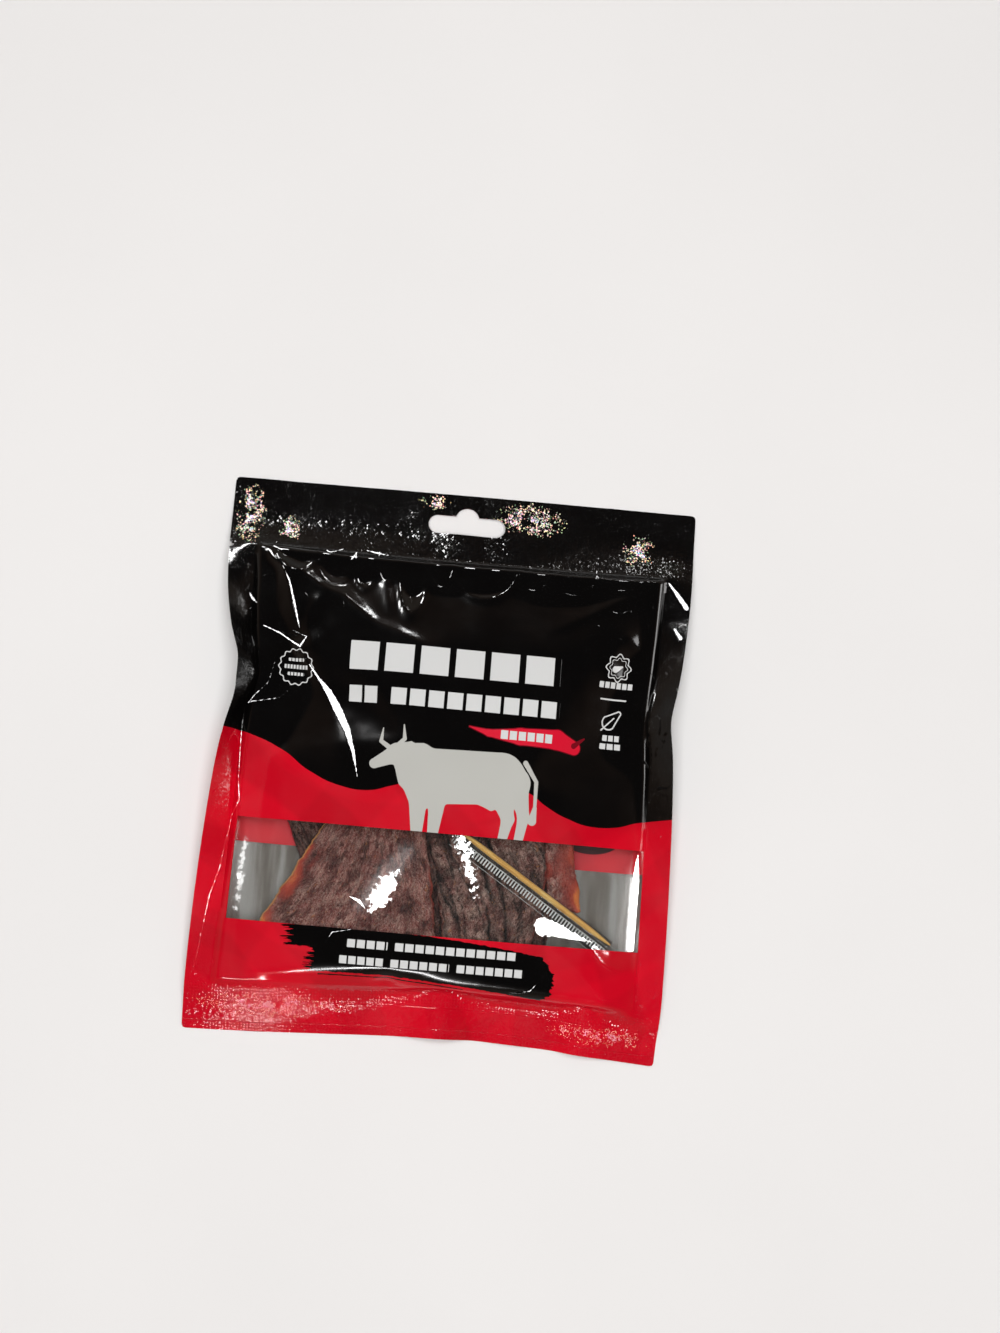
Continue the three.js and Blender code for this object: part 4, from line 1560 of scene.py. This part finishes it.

# %% [markdown]
# ## Strips of dried beef
#
# Each strip is a slice cut along the grain and dried until it is stiff. Its face is a felt
# of dark muscle fibres that run lengthwise, its outline is torn, and where it gets thin at
# an edge, light comes through and it looks red, with a golden rim. A strip starts as a grid
# that is extruded to a slab. Each point is then set in code: across and along the strip's
# outline, as high as the room between the two webs allows, and finely wrinkled along the
# grain. Sculpting would give the same, but not twice alike.

# %% Sizes of the strips, in mm
# corners run bottom left, bottom right, top right, top left; bow is for the right edge
# shade darkens a strip's colour: for the two back strips, which lie under the others, it is painted
# shade; for strip B it is its own darker tone.
# thin: width in mm and strength of the painted glow of light coming through the left and right edges
STRIPS = (
    {"name": "jerky_strip_back_left", "upper": False, "bow": 0, "seed": 4, "shade": 0.55, "red": 0.6,
     "corners": ((-38, -62), (-8, -60), (-12, 4), (-62, 2)), "thin": (1.6, 0.3, 0.8, 0.3)},
    {"name": "jerky_strip_back_middle", "upper": False, "bow": 1, "seed": 5, "shade": 0.5, "red": 0.7,
     "corners": ((-3, -64), (41, -60), (43, 0), (-7, 2)), "thin": (0.6, 0.3, 0.8, 0.4)},
    {"name": "jerky_strip_left", "upper": True, "bow": 0, "seed": 1, "shade": 1.05, "red": 0.95,
     "corners": ((-62, -66), (4, -68), (-8, -3), (-30, -5)), "thin": (6.5, 0.8, 1.3, 0.6)},
    {"name": "jerky_strip_middle", "upper": True, "bow": 8, "seed": 2, "shade": 0.9, "red": 0.45,
     "corners": ((6.5, -68), (33, -66), (28, -1), (-7, -3)), "thin": (0.6, 0.35, 0.9, 0.5)},
    {"name": "jerky_strip_right", "upper": True, "bow": 0.5, "seed": 3, "shade": 1.0, "red": 1.2,
     "corners": ((40, -47), (51, -47), (42.5, -4), (34, -4)), "thin": (4.0, 0.4, 7.5, 1.0)},
)
STRIP_CELL = 0.55
STRIP_THICKNESS = 3.3
UPPER_REST = 4.6
FILM_CLEARANCE = 0.55
GLOW_TOP = -30
STRIP_LENGTH = 62
GRAIN_CHART = 100
BUNDLE_RELIEF, FIBRE_RELIEF, FELT_RELIEF = 0.42, 0.22, 0.12
# the level of the noise below which a groove opens, and how deep it gets
FINE_GROOVES = (0.1, 0.4)
SLANTED_GROOVES = (0.13, 1.1)
GROOVE_RELIEF = 0.7
TEAR, FRAY = 1.0, 0.5
# from the edge inwards: where a strip has its full thickness, and what is left at the edge
EDGE_ROUND, EDGE_SHARE, EDGE_RELIEF = 1.3, 0.16, 0.45
CURL, CURL_REACH, SAG = 0.5, 2.5, 0.5
PICK_ROOM, PICK_CLEARANCE = 7, 0.7
BACK_CLEARANCE = 0.35
LEAST_ROOM = 1.2
LEFT_RIM, RIGHT_RIM, RIGHT_SHARE = 0.75, 0.35, 0.6
UNDERSIDE_RELIEF, FLOOR_SINK, LEAST_THICKNESS = 0.4, 0.1, 0.35
GLOW_FADE, LEAST_GLOW = 3, 0.25


def wander(*place):
    """Smooth noise from -1 to 1 at a place."""
    return noise.noise(Vector(place))


def grain_relief(along, across, seed, slanted):
    """Height of the muscle grain, in mm, and how deep in a groove the place is."""
    drift = 1.6 * wander(along / 20, across / 10, seed) + 0.8 * wander(along / 4, across / 4, seed)
    along += 1.5 * wander(along / 3, across / 3, seed + 20)
    bundles = wander(along / 20, (across + drift) / 2.4, seed + 5)
    fibres = wander(along / 7, (across + drift) / 0.8, seed + 9)
    felt = wander(along / 1.7, across / 1.1, seed + 14) + wander(across / 3, along / 3, seed + 2)

    def grooves(field, level, depth):
        return depth * max(0, level - abs(field)) / level

    groove = grooves(bundles, *FINE_GROOVES)
    if slanted:
        field = wander(along / 26, (across + 0.3 * along) / 3.4, seed + 30)
        groove += grooves(field, *SLANTED_GROOVES)
    relief = BUNDLE_RELIEF * bundles + FIBRE_RELIEF * fibres + FELT_RELIEF * felt
    return relief - GROOVE_RELIEF * groove, groove


def lerp(start, end, share):
    return start + (end - start) * share


def torn_edge(along, seed):
    """How far the torn outline strays, in mm."""
    return TEAR * wander(along / 5, seed, 0.3) + FRAY * wander(along / 1.3, seed, 4.1)


print("strips to make:", [strip["name"] for strip in STRIPS])


# %% Cut one strip
def strip_blank(name, across_cells, along_cells):
    """A grid of unit size, extruded down by one unit to a closed slab."""
    blank = new_piece(
        bpy.ops.mesh.primitive_grid_add, name, x_subdivisions=across_cells,
        y_subdivisions=along_cells, size=1,
    )
    edit_all(blank)
    bpy.ops.mesh.extrude_region_move(TRANSFORM_OT_translate={"value": (0, 0, -1)})
    bpy.ops.mesh.select_all(action="SELECT")
    bpy.ops.mesh.normals_make_consistent(inside=False)
    object_mode()
    return blank


def pick_gap(x, y):
    """Distance from the toothpick's line seen from above, and the stick's height there."""
    flat = Vector((PICK_HEADING.x, PICK_HEADING.y))
    offset = Vector((x - PICK_START.x, y - PICK_START.y))
    along = min(PICK_LENGTH, max(0, offset.dot(flat) / flat.length_squared))
    return (offset - flat * along).length, PICK_START.z + PICK_HEADING.z * along


def shape_strip(blank, strip):
    """Bend the slab to the strip's outline, thickness and grain."""
    low_left, low_right, top_right, top_left = strip["corners"]
    seed = 10.0 * strip["seed"]
    length = (top_left[1] + top_right[1] - low_left[1] - low_right[1]) / 2
    width = max(low_right[0] - low_left[0], top_right[0] - top_left[0])
    left_width, left_glow, right_width, right_glow = strip["thin"]
    grain = blank.data.uv_layers.new(name="grain")
    grain_places, glow_shares, rim_glow_shares, grooves = [], [], [], []
    for point in blank.data.vertices:
        s, t, is_top = point.co.x + 0.5, point.co.y + 0.5, point.co.z > -0.5
        along = t * length
        left_x = lerp(low_left[0], top_left[0], t) + torn_edge(along, seed)
        right_x = (lerp(low_right[0], top_right[0], t) + strip["bow"] * math.sin(math.pi * t)
                   + torn_edge(along, seed + 3))
        x = lerp(left_x, right_x, s)
        y = lerp(lerp(low_left[1], low_right[1], s), lerp(top_left[1], top_right[1], s), t)
        y += (2 * t - 1) * torn_edge(s * width, seed + 6)
        across = (s - 0.5) * width
        to_left, to_right = max(0, x - left_x), max(0, right_x - x)
        to_edge = max(0, min(to_left, to_right, along, length - along))
        full = math.sqrt(max(0, 1 - (1 - min(1, to_edge / EDGE_ROUND)) ** 2))
        ceiling = front_height(x, y) - FILM_CLEARANCE
        from_pick, pick_height = pick_gap(x, y)
        if from_pick < PICK_ROOM:
            ceiling = min(ceiling, pick_height - PICK_RADIUS - PICK_CLEARANCE)
        floor = back_height(x, y) + BACK_CLEARANCE
        rest = min(UPPER_REST, ceiling - LEAST_ROOM) if strip["upper"] else floor
        relief, groove = grain_relief(along, across, seed, strip["shade"] < 1)
        curl = CURL * math.exp(-to_edge / CURL_REACH) * wander(along / 9, seed, 7)
        middle = rest + STRIP_THICKNESS / 2 + curl + SAG * wander(x / 16, y / 16, seed + 1)
        half = STRIP_THICKNESS / 2 * lerp(EDGE_SHARE, 1, full)
        if is_top:
            z = min(middle + half + relief * lerp(EDGE_RELIEF, 1, full), ceiling)
        else:
            z = max(middle - half + UNDERSIDE_RELIEF * relief, floor - FLOOR_SINK)
            z = min(z, ceiling - LEAST_THICKNESS)
        point.co = Vector((x, y, z)) * MM
        grain_places.append((along / GRAIN_CHART, across / GRAIN_CHART))
        grooves.append(groove)
        # Painted glow of light coming through the thin edges, and its golden rim along the edge; on
        # the left strip the painted glow fades out above GLOW_TOP.
        near = left_glow * math.exp(-((to_left / left_width) ** 3))
        if strip["name"].endswith("_left"):
            near *= min(1, max(LEAST_GLOW, (GLOW_TOP - y) / GLOW_FADE))
        far = right_glow * math.exp(-((to_right / right_width) ** 1.5))
        patch = 0.75 + 0.9 * wander(along / 9, across / 5, seed + 8)
        glow_shares.append(min(1, max(0, max(near, far) * patch)))
        rim = math.exp(-((to_left / LEFT_RIM) ** 2)) * (1.0 + 0.5 * wander(along / 4, seed, 2))
        rim *= 1.0 if strip["name"] == "jerky_strip_left" else max(0, wander(along / 6, seed, 8))
        right_rim_glow = math.exp(-to_right / RIGHT_RIM) * (0.5 + wander(along / 5, seed, 6))
        rim_glow_shares.append(rim + RIGHT_SHARE * right_rim_glow)
    for loop, place in zip(blank.data.loops, grain.data):
        place.uv = grain_places[loop.vertex_index]
    count = len(grooves)
    marks = {"thin": glow_shares, "rim": rim_glow_shares, "groove": grooves,
             "shade": [strip["shade"]] * count, "red": [strip["red"]] * count}
    for name, values in marks.items():
        layer = blank.data.attributes.new(name, "FLOAT", "POINT")
        layer.data.foreach_set("value", values)


dried_beef = bpy.data.materials.new("beef_fibres")
strips = []
for strip in STRIPS:
    low_left, low_right, top_right, top_left = strip["corners"]
    span = max(low_right[0] - low_left[0], top_right[0] - top_left[0])
    blank = strip_blank(
        strip["name"] + "_looks", round(span / STRIP_CELL), round(STRIP_LENGTH / STRIP_CELL)
    )
    shape_strip(blank, strip)
    blank.data.uv_layers.remove(blank.data.uv_layers[0])
    blank.data.materials.append(dried_beef)
    only(blank)
    bpy.ops.object.shade_smooth()
    strips.append(blank)
    print(blank.name, len(blank.data.polygons), "faces")

# %% [markdown]
# The strips' colour follows the grain map: dark brown, redder in some strips and places and
# greyer in others, with thin pale fibres and a few ochre flecks. The fibres are painted paler
# than their own colour, as painted highlights for their glints. The grooves are painted
# nearly black as painted shade, and light coming through where the strip is marked as thin
# is painted red to gold, as a painted glow. The back strips, which lie under the others, are
# painted darker as painted shade, while strip B is darker in its own tone. Dried beef easily
# comes out too red, so the browns were set against the photograph.


# %% Finish of the dried beef
RED_BROWNS = ((0.6, paint(34, 10, 10)), (0.7, paint(90, 36, 34)), (0.78, paint(132, 72, 66)),
              (0.9, paint(190, 138, 128)))
GREY_BROWNS = ((0.6, paint(24, 15, 13)), (0.7, paint(74, 52, 46)), (0.78, paint(120, 96, 88)),
               (0.9, paint(184, 162, 150)))
# Colours of the painted glow of light coming through thin edges, and of its golden rim.
GLOW = ((0.1, paint(84, 36, 30)), (0.4, paint(160, 56, 46)), (0.75, paint(198, 78, 54)),
        (0.92, paint(236, 130, 58)))
# GROOVE_SHADE is painted shade: the colour that the grooves are painted with, nearly black.
# HAIR_AND_GLINT is the pale fibres' own colour, made lighter as painted highlight for their glints.
HAIR_AND_GLINT, GROOVE_SHADE = paint(216, 186, 172), paint(16, 11, 10)
FLECK, RIM_GLOW = paint(178, 112, 58), paint(226, 164, 96)
# how much each noise counts in the tone, and how high each stands in mm
BUNDLE_TONE, FIBRE_TONE, FELT_TONE, PATCH_TONE = 0.2, 0.28, 0.47, 0.5
FIBRE_BUMP, FELT_BUMP, HAIR_BUMP = 0.16, 0.26, 0.1
THREAD_WIDTH = 0.03


def beef_finish(material):
    tree, shader = shader_of(material)
    place = node_of("ShaderNodeUVMap", tree=tree, uv_map="grain").outputs[0]
    place = scaled(place, GRAIN_CHART)
    swirl = scaled(noise_colour(place, 0.33), 2.6)
    curl = scaled(noise_colour(place, 1.3), 0.7)
    bent = vectors("ADD", place, vectors("ADD", swirl, curl))

    def grown(along, across, detail=2.0, roughness=0.5, distortion=0.0, source=bent):
        """Noise of some length and width along the grain, in mm."""
        spot = mapped(source, scale=(1 / along, 1 / across, 1))
        return noise_of(spot, 1.0, detail, roughness, distortion)

    def threads(along, across, level):
        """Thin curly lines where a noise passes a level."""
        off_line = unsigned(minus(grown(along, across, 2.0, 0.5, 1.2), level))
        return times_plus(off_line, -1 / THREAD_WIDTH, 1.0, clamp=True)

    def mark(name):
        return attribute_of(tree, name)

    def around_middle(field, factor, level, clamp=False):
        return times_plus(minus(field, 0.5), factor, level, clamp=clamp)

    bundles = grown(9, 1.3, 4.0, 0.6, 0.4, place)
    fibres = grown(2.2, 0.3, 4.0, 0.65, 1.0)
    felt = grown(0.8, 0.42, 5.0, 0.7, 1.6)
    patches = grown(7, 6, 3.0)
    hairs = larger(threads(2.8, 1.1, 0.5), threads(1.6, 1.0, 0.43))
    tone = times_plus(fibres, FIBRE_TONE, times(bundles, BUNDLE_TONE))
    tone = times_plus(felt, FELT_TONE, tone)
    tone = times_plus(patches, PATCH_TONE, tone)
    redness = around_middle(grown(5, 5), 2.0, mark("red"), clamp=True)
    colour = blend_colours(redness, ramp_of(tone, GREY_BROWNS), ramp_of(tone, RED_BROWNS))
    # Pale fibres, partly their own colour and partly painted highlight for their glints.
    hair_glint_seen = times(hairs, rescale(patches, 0.35, 0.65, 0.2, 0.9))
    colour = blend_colours(hair_glint_seen, colour, HAIR_AND_GLINT)
    # Painted shade: the grooves are painted nearly black.
    colour = blend_colours(times(mark("groove"), 0.95, clamp=True), colour, GROOVE_SHADE)
    flecks = rescale(grown(1.6, 0.8, 2.0, 0.5, 1.0), 0.66, 0.71)
    colour = blend_colours(times(flecks, 0.6), colour, FLECK)
    # Painted glow: light coming through the thin edges is painted red to gold.
    thin = around_middle(felt, 0.7, mark("thin"), clamp=True)
    shaded = times_plus(fibres, 1.2, 0.35)
    glow = vectors("MULTIPLY", ramp_of(thin, GLOW), vector_of(shaded, shaded, shaded))
    colour = blend_colours(rescale(thin, 0.12, 0.6, 0.0, 0.85), colour, glow)
    # Painted glow: the golden rim at the very edge, where most light comes through.
    rim = rescale(around_middle(fibres, 0.8, mark("rim")), 0.3, 0.75, 0.0, 0.9)
    colour = blend_colours(rim, colour, RIM_GLOW)
    # Painted shade: shade darkens the back strips, which lie under the others; for strip B it is its
    # own darker tone.
    shade = mark("shade")
    put(shader["Base Color"], vectors("MULTIPLY", colour, vector_of(shade, shade, shade)))
    put(shader["Roughness"], rescale(felt, 0.35, 0.7, 0.22, 0.5))
    put(shader["IOR"], 1.45)
    height = times_plus(fibres, FIBRE_BUMP, times(felt, FELT_BUMP))
    put(shader["Normal"], bumped(times_plus(hairs, HAIR_BUMP, height)))
    print(material.name, "has", len(tree.nodes), "nodes")


beef_finish(dried_beef)

# %% [markdown]
# ## The toothpick
#
# A birch toothpick is a turned stick with two long points. It could be a lathe profile spun
# round, but a circle that is extruded step by step and resized at each step is quicker and
# gives even rings. It is made along its own length first, and then laid in its place.

# %% Turn the toothpick
# distance from the end, and radius there, in mm
PICK_STEPS = ((0.0, 0.24), (0.25, 0.34), (3.0, 0.62), (6.0, 0.84), (9.0, 0.97), (12.0, 1.0),
              (32.5, 1.0), (53.0, 1.0), (56.0, 0.97), (59.0, 0.84), (62.0, 0.62),
              (64.75, 0.34), (65.0, 0.24))


def pick_matrix():
    """Turns a piece made along +Y, centred on the origin, into the toothpick's place."""
    across = PICK_HEADING.cross(Vector((0, 0, 1))).normalized()
    up = across.cross(PICK_HEADING)
    turned = Matrix((across, PICK_HEADING, up)).transposed().to_4x4()
    middle = (PICK_START + PICK_HEADING * PICK_LENGTH / 2) * MM
    return Matrix.Translation(middle) @ turned


def lay_down(obj):
    obj.matrix_world = pick_matrix()
    only(obj)
    bpy.ops.object.transform_apply(location=True, rotation=True, scale=True)


toothpick = new_piece(
    bpy.ops.mesh.primitive_circle_add, "toothpick_looks", vertices=24,
    radius=PICK_STEPS[0][1] * MM, location=(0, 0, 0), fill_type="NGON",
)
edit_all(toothpick)
for (place, radius), (next_place, next_radius) in zip(PICK_STEPS, PICK_STEPS[1:]):
    rise = (next_place - place) * MM
    bpy.ops.mesh.extrude_region_move(TRANSFORM_OT_translate={"value": (0, 0, rise)})
    ratio = next_radius / radius
    bpy.ops.transform.resize(value=(ratio, ratio, 1), center_override=(0, 0, next_place * MM))
bpy.ops.mesh.select_all(action="SELECT")
bpy.ops.mesh.normals_make_consistent(inside=False)
object_mode()
for point in toothpick.data.vertices:
    x, y, z = point.co / MM
    uneven = 1 + 0.04 * wander(x / 1.2, y / 1.2, z / 9)
    point.co = Vector((x * uneven, z - PICK_LENGTH / 2, -y * uneven)) * MM
lay_down(toothpick)
bpy.ops.object.shade_smooth_by_angle(angle=math.radians(50))
print("toothpick:", len(toothpick.data.polygons), "faces")

# %% Birch
BIRCH = ((0.32, paint(208, 142, 54)), (0.5, paint(240, 184, 86)), (0.68, paint(252, 220, 138)))
birch = bpy.data.materials.new("birch_grain")
tree, shader = shader_of(birch)
heading_turn = -math.atan2(PICK_HEADING.y, PICK_HEADING.x)
along_pick = mapped(source_of(tree), rotation=(0, 0, heading_turn))
grain_lines = noise_of(mapped(along_pick, scale=(90, 2600, 2600)), 1.0, 3.0, 0.6)
broad = noise_of(along_pick, 120.0, 2.0)
put(shader["Base Color"], ramp_of(times_plus(grain_lines, 0.7, times(broad, 0.3)), BIRCH))
put(shader["Roughness"], rescale(grain_lines, 0.3, 0.7, 0.4, 0.6))
put(shader["Normal"], bumped(grain_lines, 0.08 * MM))
toothpick.data.materials.append(birch)
print("birch has", len(tree.nodes), "nodes")

# %% [markdown]
# ## The toothpick's sleeve
#
# The pick has its own wrap: a loose tube of clear film with a ribbed seam along one side,
# which shows in the window as a comb of bright lines. The tube is a cylinder without caps,
# pressed flat and crinkled. The seam is a narrow grid that is folded into ribs. The real ones
# are about half a millimetre apart, and they are made twice as wide so that they can be seen.
# Their crests are milky where the film was crushed, and that milkiness is also painted highlight for
# the ribs' glints. Tube and seam both get a thin wall.

# %% Make the sleeve
SLEEVE_WALL = 0.07
TUBE_HALF = (1.75, 1.32)
TUBE_SHIFT = 0.4
SEAM_FROM, SEAM_TO = 2.1, 5.9
SEAM_HEIGHT = -1.0
RIB_DEPTH = 0.14
RIB_CELLS = 5
TUBE_SIDES, TUBE_CUTS = 28, 60

sleeve = new_piece(
    bpy.ops.mesh.primitive_cylinder_add, "toothpick_sleeve_looks", vertices=TUBE_SIDES,
    radius=1, depth=1, end_fill_type="NOTHING", location=(0, 0, 0),
)
choose_faces(sleeve, lambda face: False)
object_mode()
for edge in sleeve.data.edges:
    ends = [sleeve.data.vertices[index].co.z for index in edge.vertices]
    edge.select = abs(ends[0] - ends[1]) > 0.5
bpy.ops.object.mode_set(mode="EDIT")
bpy.ops.mesh.select_mode(type="EDGE")
bpy.ops.mesh.subdivide(number_cuts=TUBE_CUTS)
object_mode()
for point in sleeve.data.vertices:
    x, y, z = point.co
    along = z * PICK_LENGTH
    crinkle = 1 + 0.05 * wander(x * 2, y * 2, along / 2.2) + 0.03 * wander(x, y, along / 0.9)
    side = x * TUBE_HALF[0] * crinkle + TUBE_SHIFT
    rise = y * TUBE_HALF[1] * crinkle
    point.co = Vector((side, along, rise)) * MM
sleeve.data.materials.append(sleeve_film)
apply_modifier(sleeve, "SOLIDIFY", thickness=SLEEVE_WALL * MM, offset=-1)

ribs = round(PICK_LENGTH / RIB_PITCH)
seam = new_piece(
    bpy.ops.mesh.primitive_grid_add, "sleeve_seam", x_subdivisions=5,
    y_subdivisions=ribs * RIB_CELLS, size=1,
)
seam.data.materials.append(seam_film)
across = seam.data.attributes.new("across", "FLOAT", "POINT")
for point in seam.data.vertices:
    s, along = point.co.x + 0.5, point.co.y * PICK_LENGTH
    across.data[point.index].value = s
    fold = math.sin(TURN * along / RIB_PITCH) * RIB_DEPTH * min(1, 5 * s, 5 * (1 - s) + 0.4)
    droop = -0.25 * s + 0.12 * wander(along / 8, 3.3, 0)
    side = lerp(SEAM_FROM, SEAM_TO, s) + 0.12 * wander(along / 6, 9.1, 0) * s
    point.co = Vector((side, along, SEAM_HEIGHT + droop + fold)) * MM
apply_modifier(seam, "SOLIDIFY", thickness=SLEEVE_WALL * MM, offset=-1)
only(sleeve)
seam.select_set(True)
bpy.ops.object.join()
lay_down(sleeve)
bpy.ops.object.shade_smooth_by_angle(angle=RIM_ANGLE)
drop_uv_maps(sleeve)
print("sleeve:", ribs, "ribs,", len(sleeve.data.polygons), "faces")

# %% [markdown]
# ## Join the pieces to the model
#
# Each piece's row gives the solids of the imported model that it stands for, which are hidden,
# and a finish of the record. The pouch has no moving parts, so all ride on its root.

# %% Ride and replace
LAYOUT = [
    (film_front, ["pouch"], "printed_film"),
    (film_back, [], "printed_film"),
    (front_pane, ["window_front"], "clear_film"),
    (back_pane, ["window_back"], "clear_film"),
    (toothpick, ["toothpick"], "birch_wood"),
    (sleeve, ["toothpick_sleeve"], "clear_film"),
]
LAYOUT += [(piece, [piece.name.replace("_looks", "")], "dried_beef") for piece in strips]
for piece, nodes, finish in LAYOUT:
    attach(piece, "root")
    if nodes:
        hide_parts(*nodes)
print("pieces:", [piece.name for piece, _, _ in LAYOUT])

# %% [markdown]
# ## Floor, lights and camera
#
# The pouch lies on a plain pale floor. Its black film is a mirror for whatever is straight
# above it, so the place above the camera stays dark. One broad soft lamp lights colours and
# floor, and the gloss doesn't show it. Four small lamps are seen by the gloss alone: the one
# at the upper left makes the folds and the window flash, and the others put thin lights on
# the right seam, the foot and the header. The camera was fitted to the corners of the pouch
# in the photograph, with a 50 mm lens.

# %% Floor
floor = new_piece(bpy.ops.mesh.primitive_plane_add, "floor", size=6)
pale = bpy.data.materials.new("pale_floor")
tree, shader = shader_of(pale)
mottle = rescale(noise_of(source_of(tree), 6.0, 3.0), 0.3, 0.7)
put(shader["Base Color"], blend_colours(mottle, (0.84, 0.84, 0.84, 1), (0.86, 0.86, 0.86, 1)))
put(shader["Roughness"], 0.9)
put(shader["Specular IOR Level"], 0.1)
floor.data.materials.append(pale)
print("floor at z", floor.location.z)

# %% Lamps
# The lamp over the whole scene lights colours and floor; the film's gloss doesn't show it.
SOFT_SIZE, SOFT_HEIGHT, SOFT_POWER = 1.6, 1.5, 27
# name, place, size across, size along, heading of its width in degrees, radiance
GLINTS = (
    ("folds", (-0.54, 0.93, 1.19), 0.3, 0.3, 0, 45),
    ("right", (0.95, 0.2, 0.42), 0.3, 0.45, 90, 6),
    ("foot", (-0.05, -0.88, 1.0), 0.3, 0.06, 0, 50),
    ("right_top", (0.23, 1.08, 0.75), 0.06, 0.06, 0, 60),
)


def add_lamp(name, across, along, power, matrix):
    lamp = bpy.data.lights.new(name, "AREA")
    lamp.shape = "RECTANGLE"
    lamp.size, lamp.size_y = across, along
    lamp.energy = power
    holder = bpy.data.objects.new(name, lamp)
    holder.matrix_world = matrix
    bpy.context.scene.collection.objects.link(holder)
    return holder


above = Matrix.Translation((0, 0, SOFT_HEIGHT))
add_lamp("soft", SOFT_SIZE, SOFT_SIZE, SOFT_POWER, above).visible_glossy = False
for name, place, across, along, heading, radiance in GLINTS:
    away = Vector(place).normalized()
    level = Vector((math.cos(math.radians(heading)), math.sin(math.radians(heading)), 0))
    width_way = (level - away * level.dot(away)).normalized()
    turning = Matrix((width_way, away.cross(width_way), away)).transposed().to_4x4()
    power = radiance * math.pi * across * along
    lamp = add_lamp(name, across, along, power, Matrix.Translation(place) @ turning)
    lamp.visible_diffuse = False
print("lamps for the gloss:", [glint[0] for glint in GLINTS])

# %% Surroundings
# Dark overhead and warm and dim towards the horizon, which the film's slopes reflect.
ROOM = ((0.0, (0.38, 0.36, 0.34, 1)), (0.45, (0.28, 0.22, 0.18, 1)),
        (0.7, (0.12, 0.08, 0.06, 1)), (0.9, (0.02, 0.02, 0.02, 1)))
world = bpy.data.worlds.new("studio")
world.use_nodes = True
background = world.node_tree.nodes["Background"].inputs
heading = source_of(world.node_tree, "Generated")
height = node_of("ShaderNodeSeparateXYZ", {0: heading}).outputs[2]
put(background["Color"], ramp_of(height, ROOM))
put(background["Strength"], 1.0)
bpy.context.scene.world = world
bpy.context.scene.view_settings.view_transform = "Standard"
print("view:", bpy.context.scene.view_settings.view_transform)

# %% Camera
CAMERA_PLACE = Vector((-9.05, -54.04, 649.5))
CAMERA_AXES = ((0.99521, 0.08335, 0.05112), (-0.08956, 0.98686, 0.13448),
               (-0.03924, -0.13841, 0.9896))
lens = bpy.data.cameras.new("camera")
lens.lens = 50
lens.sensor_width = 36
lens.clip_start, lens.clip_end = 0.01, 20
camera = bpy.data.objects.new("camera", lens)
camera.matrix_world = (
    Matrix.Translation(CAMERA_PLACE * MM) @ Matrix(CAMERA_AXES).transposed().to_4x4()
)
bpy.context.scene.collection.objects.link(camera)
bpy.context.scene.camera = camera
print("camera is", round(camera.location.z, 3), "m above the floor")
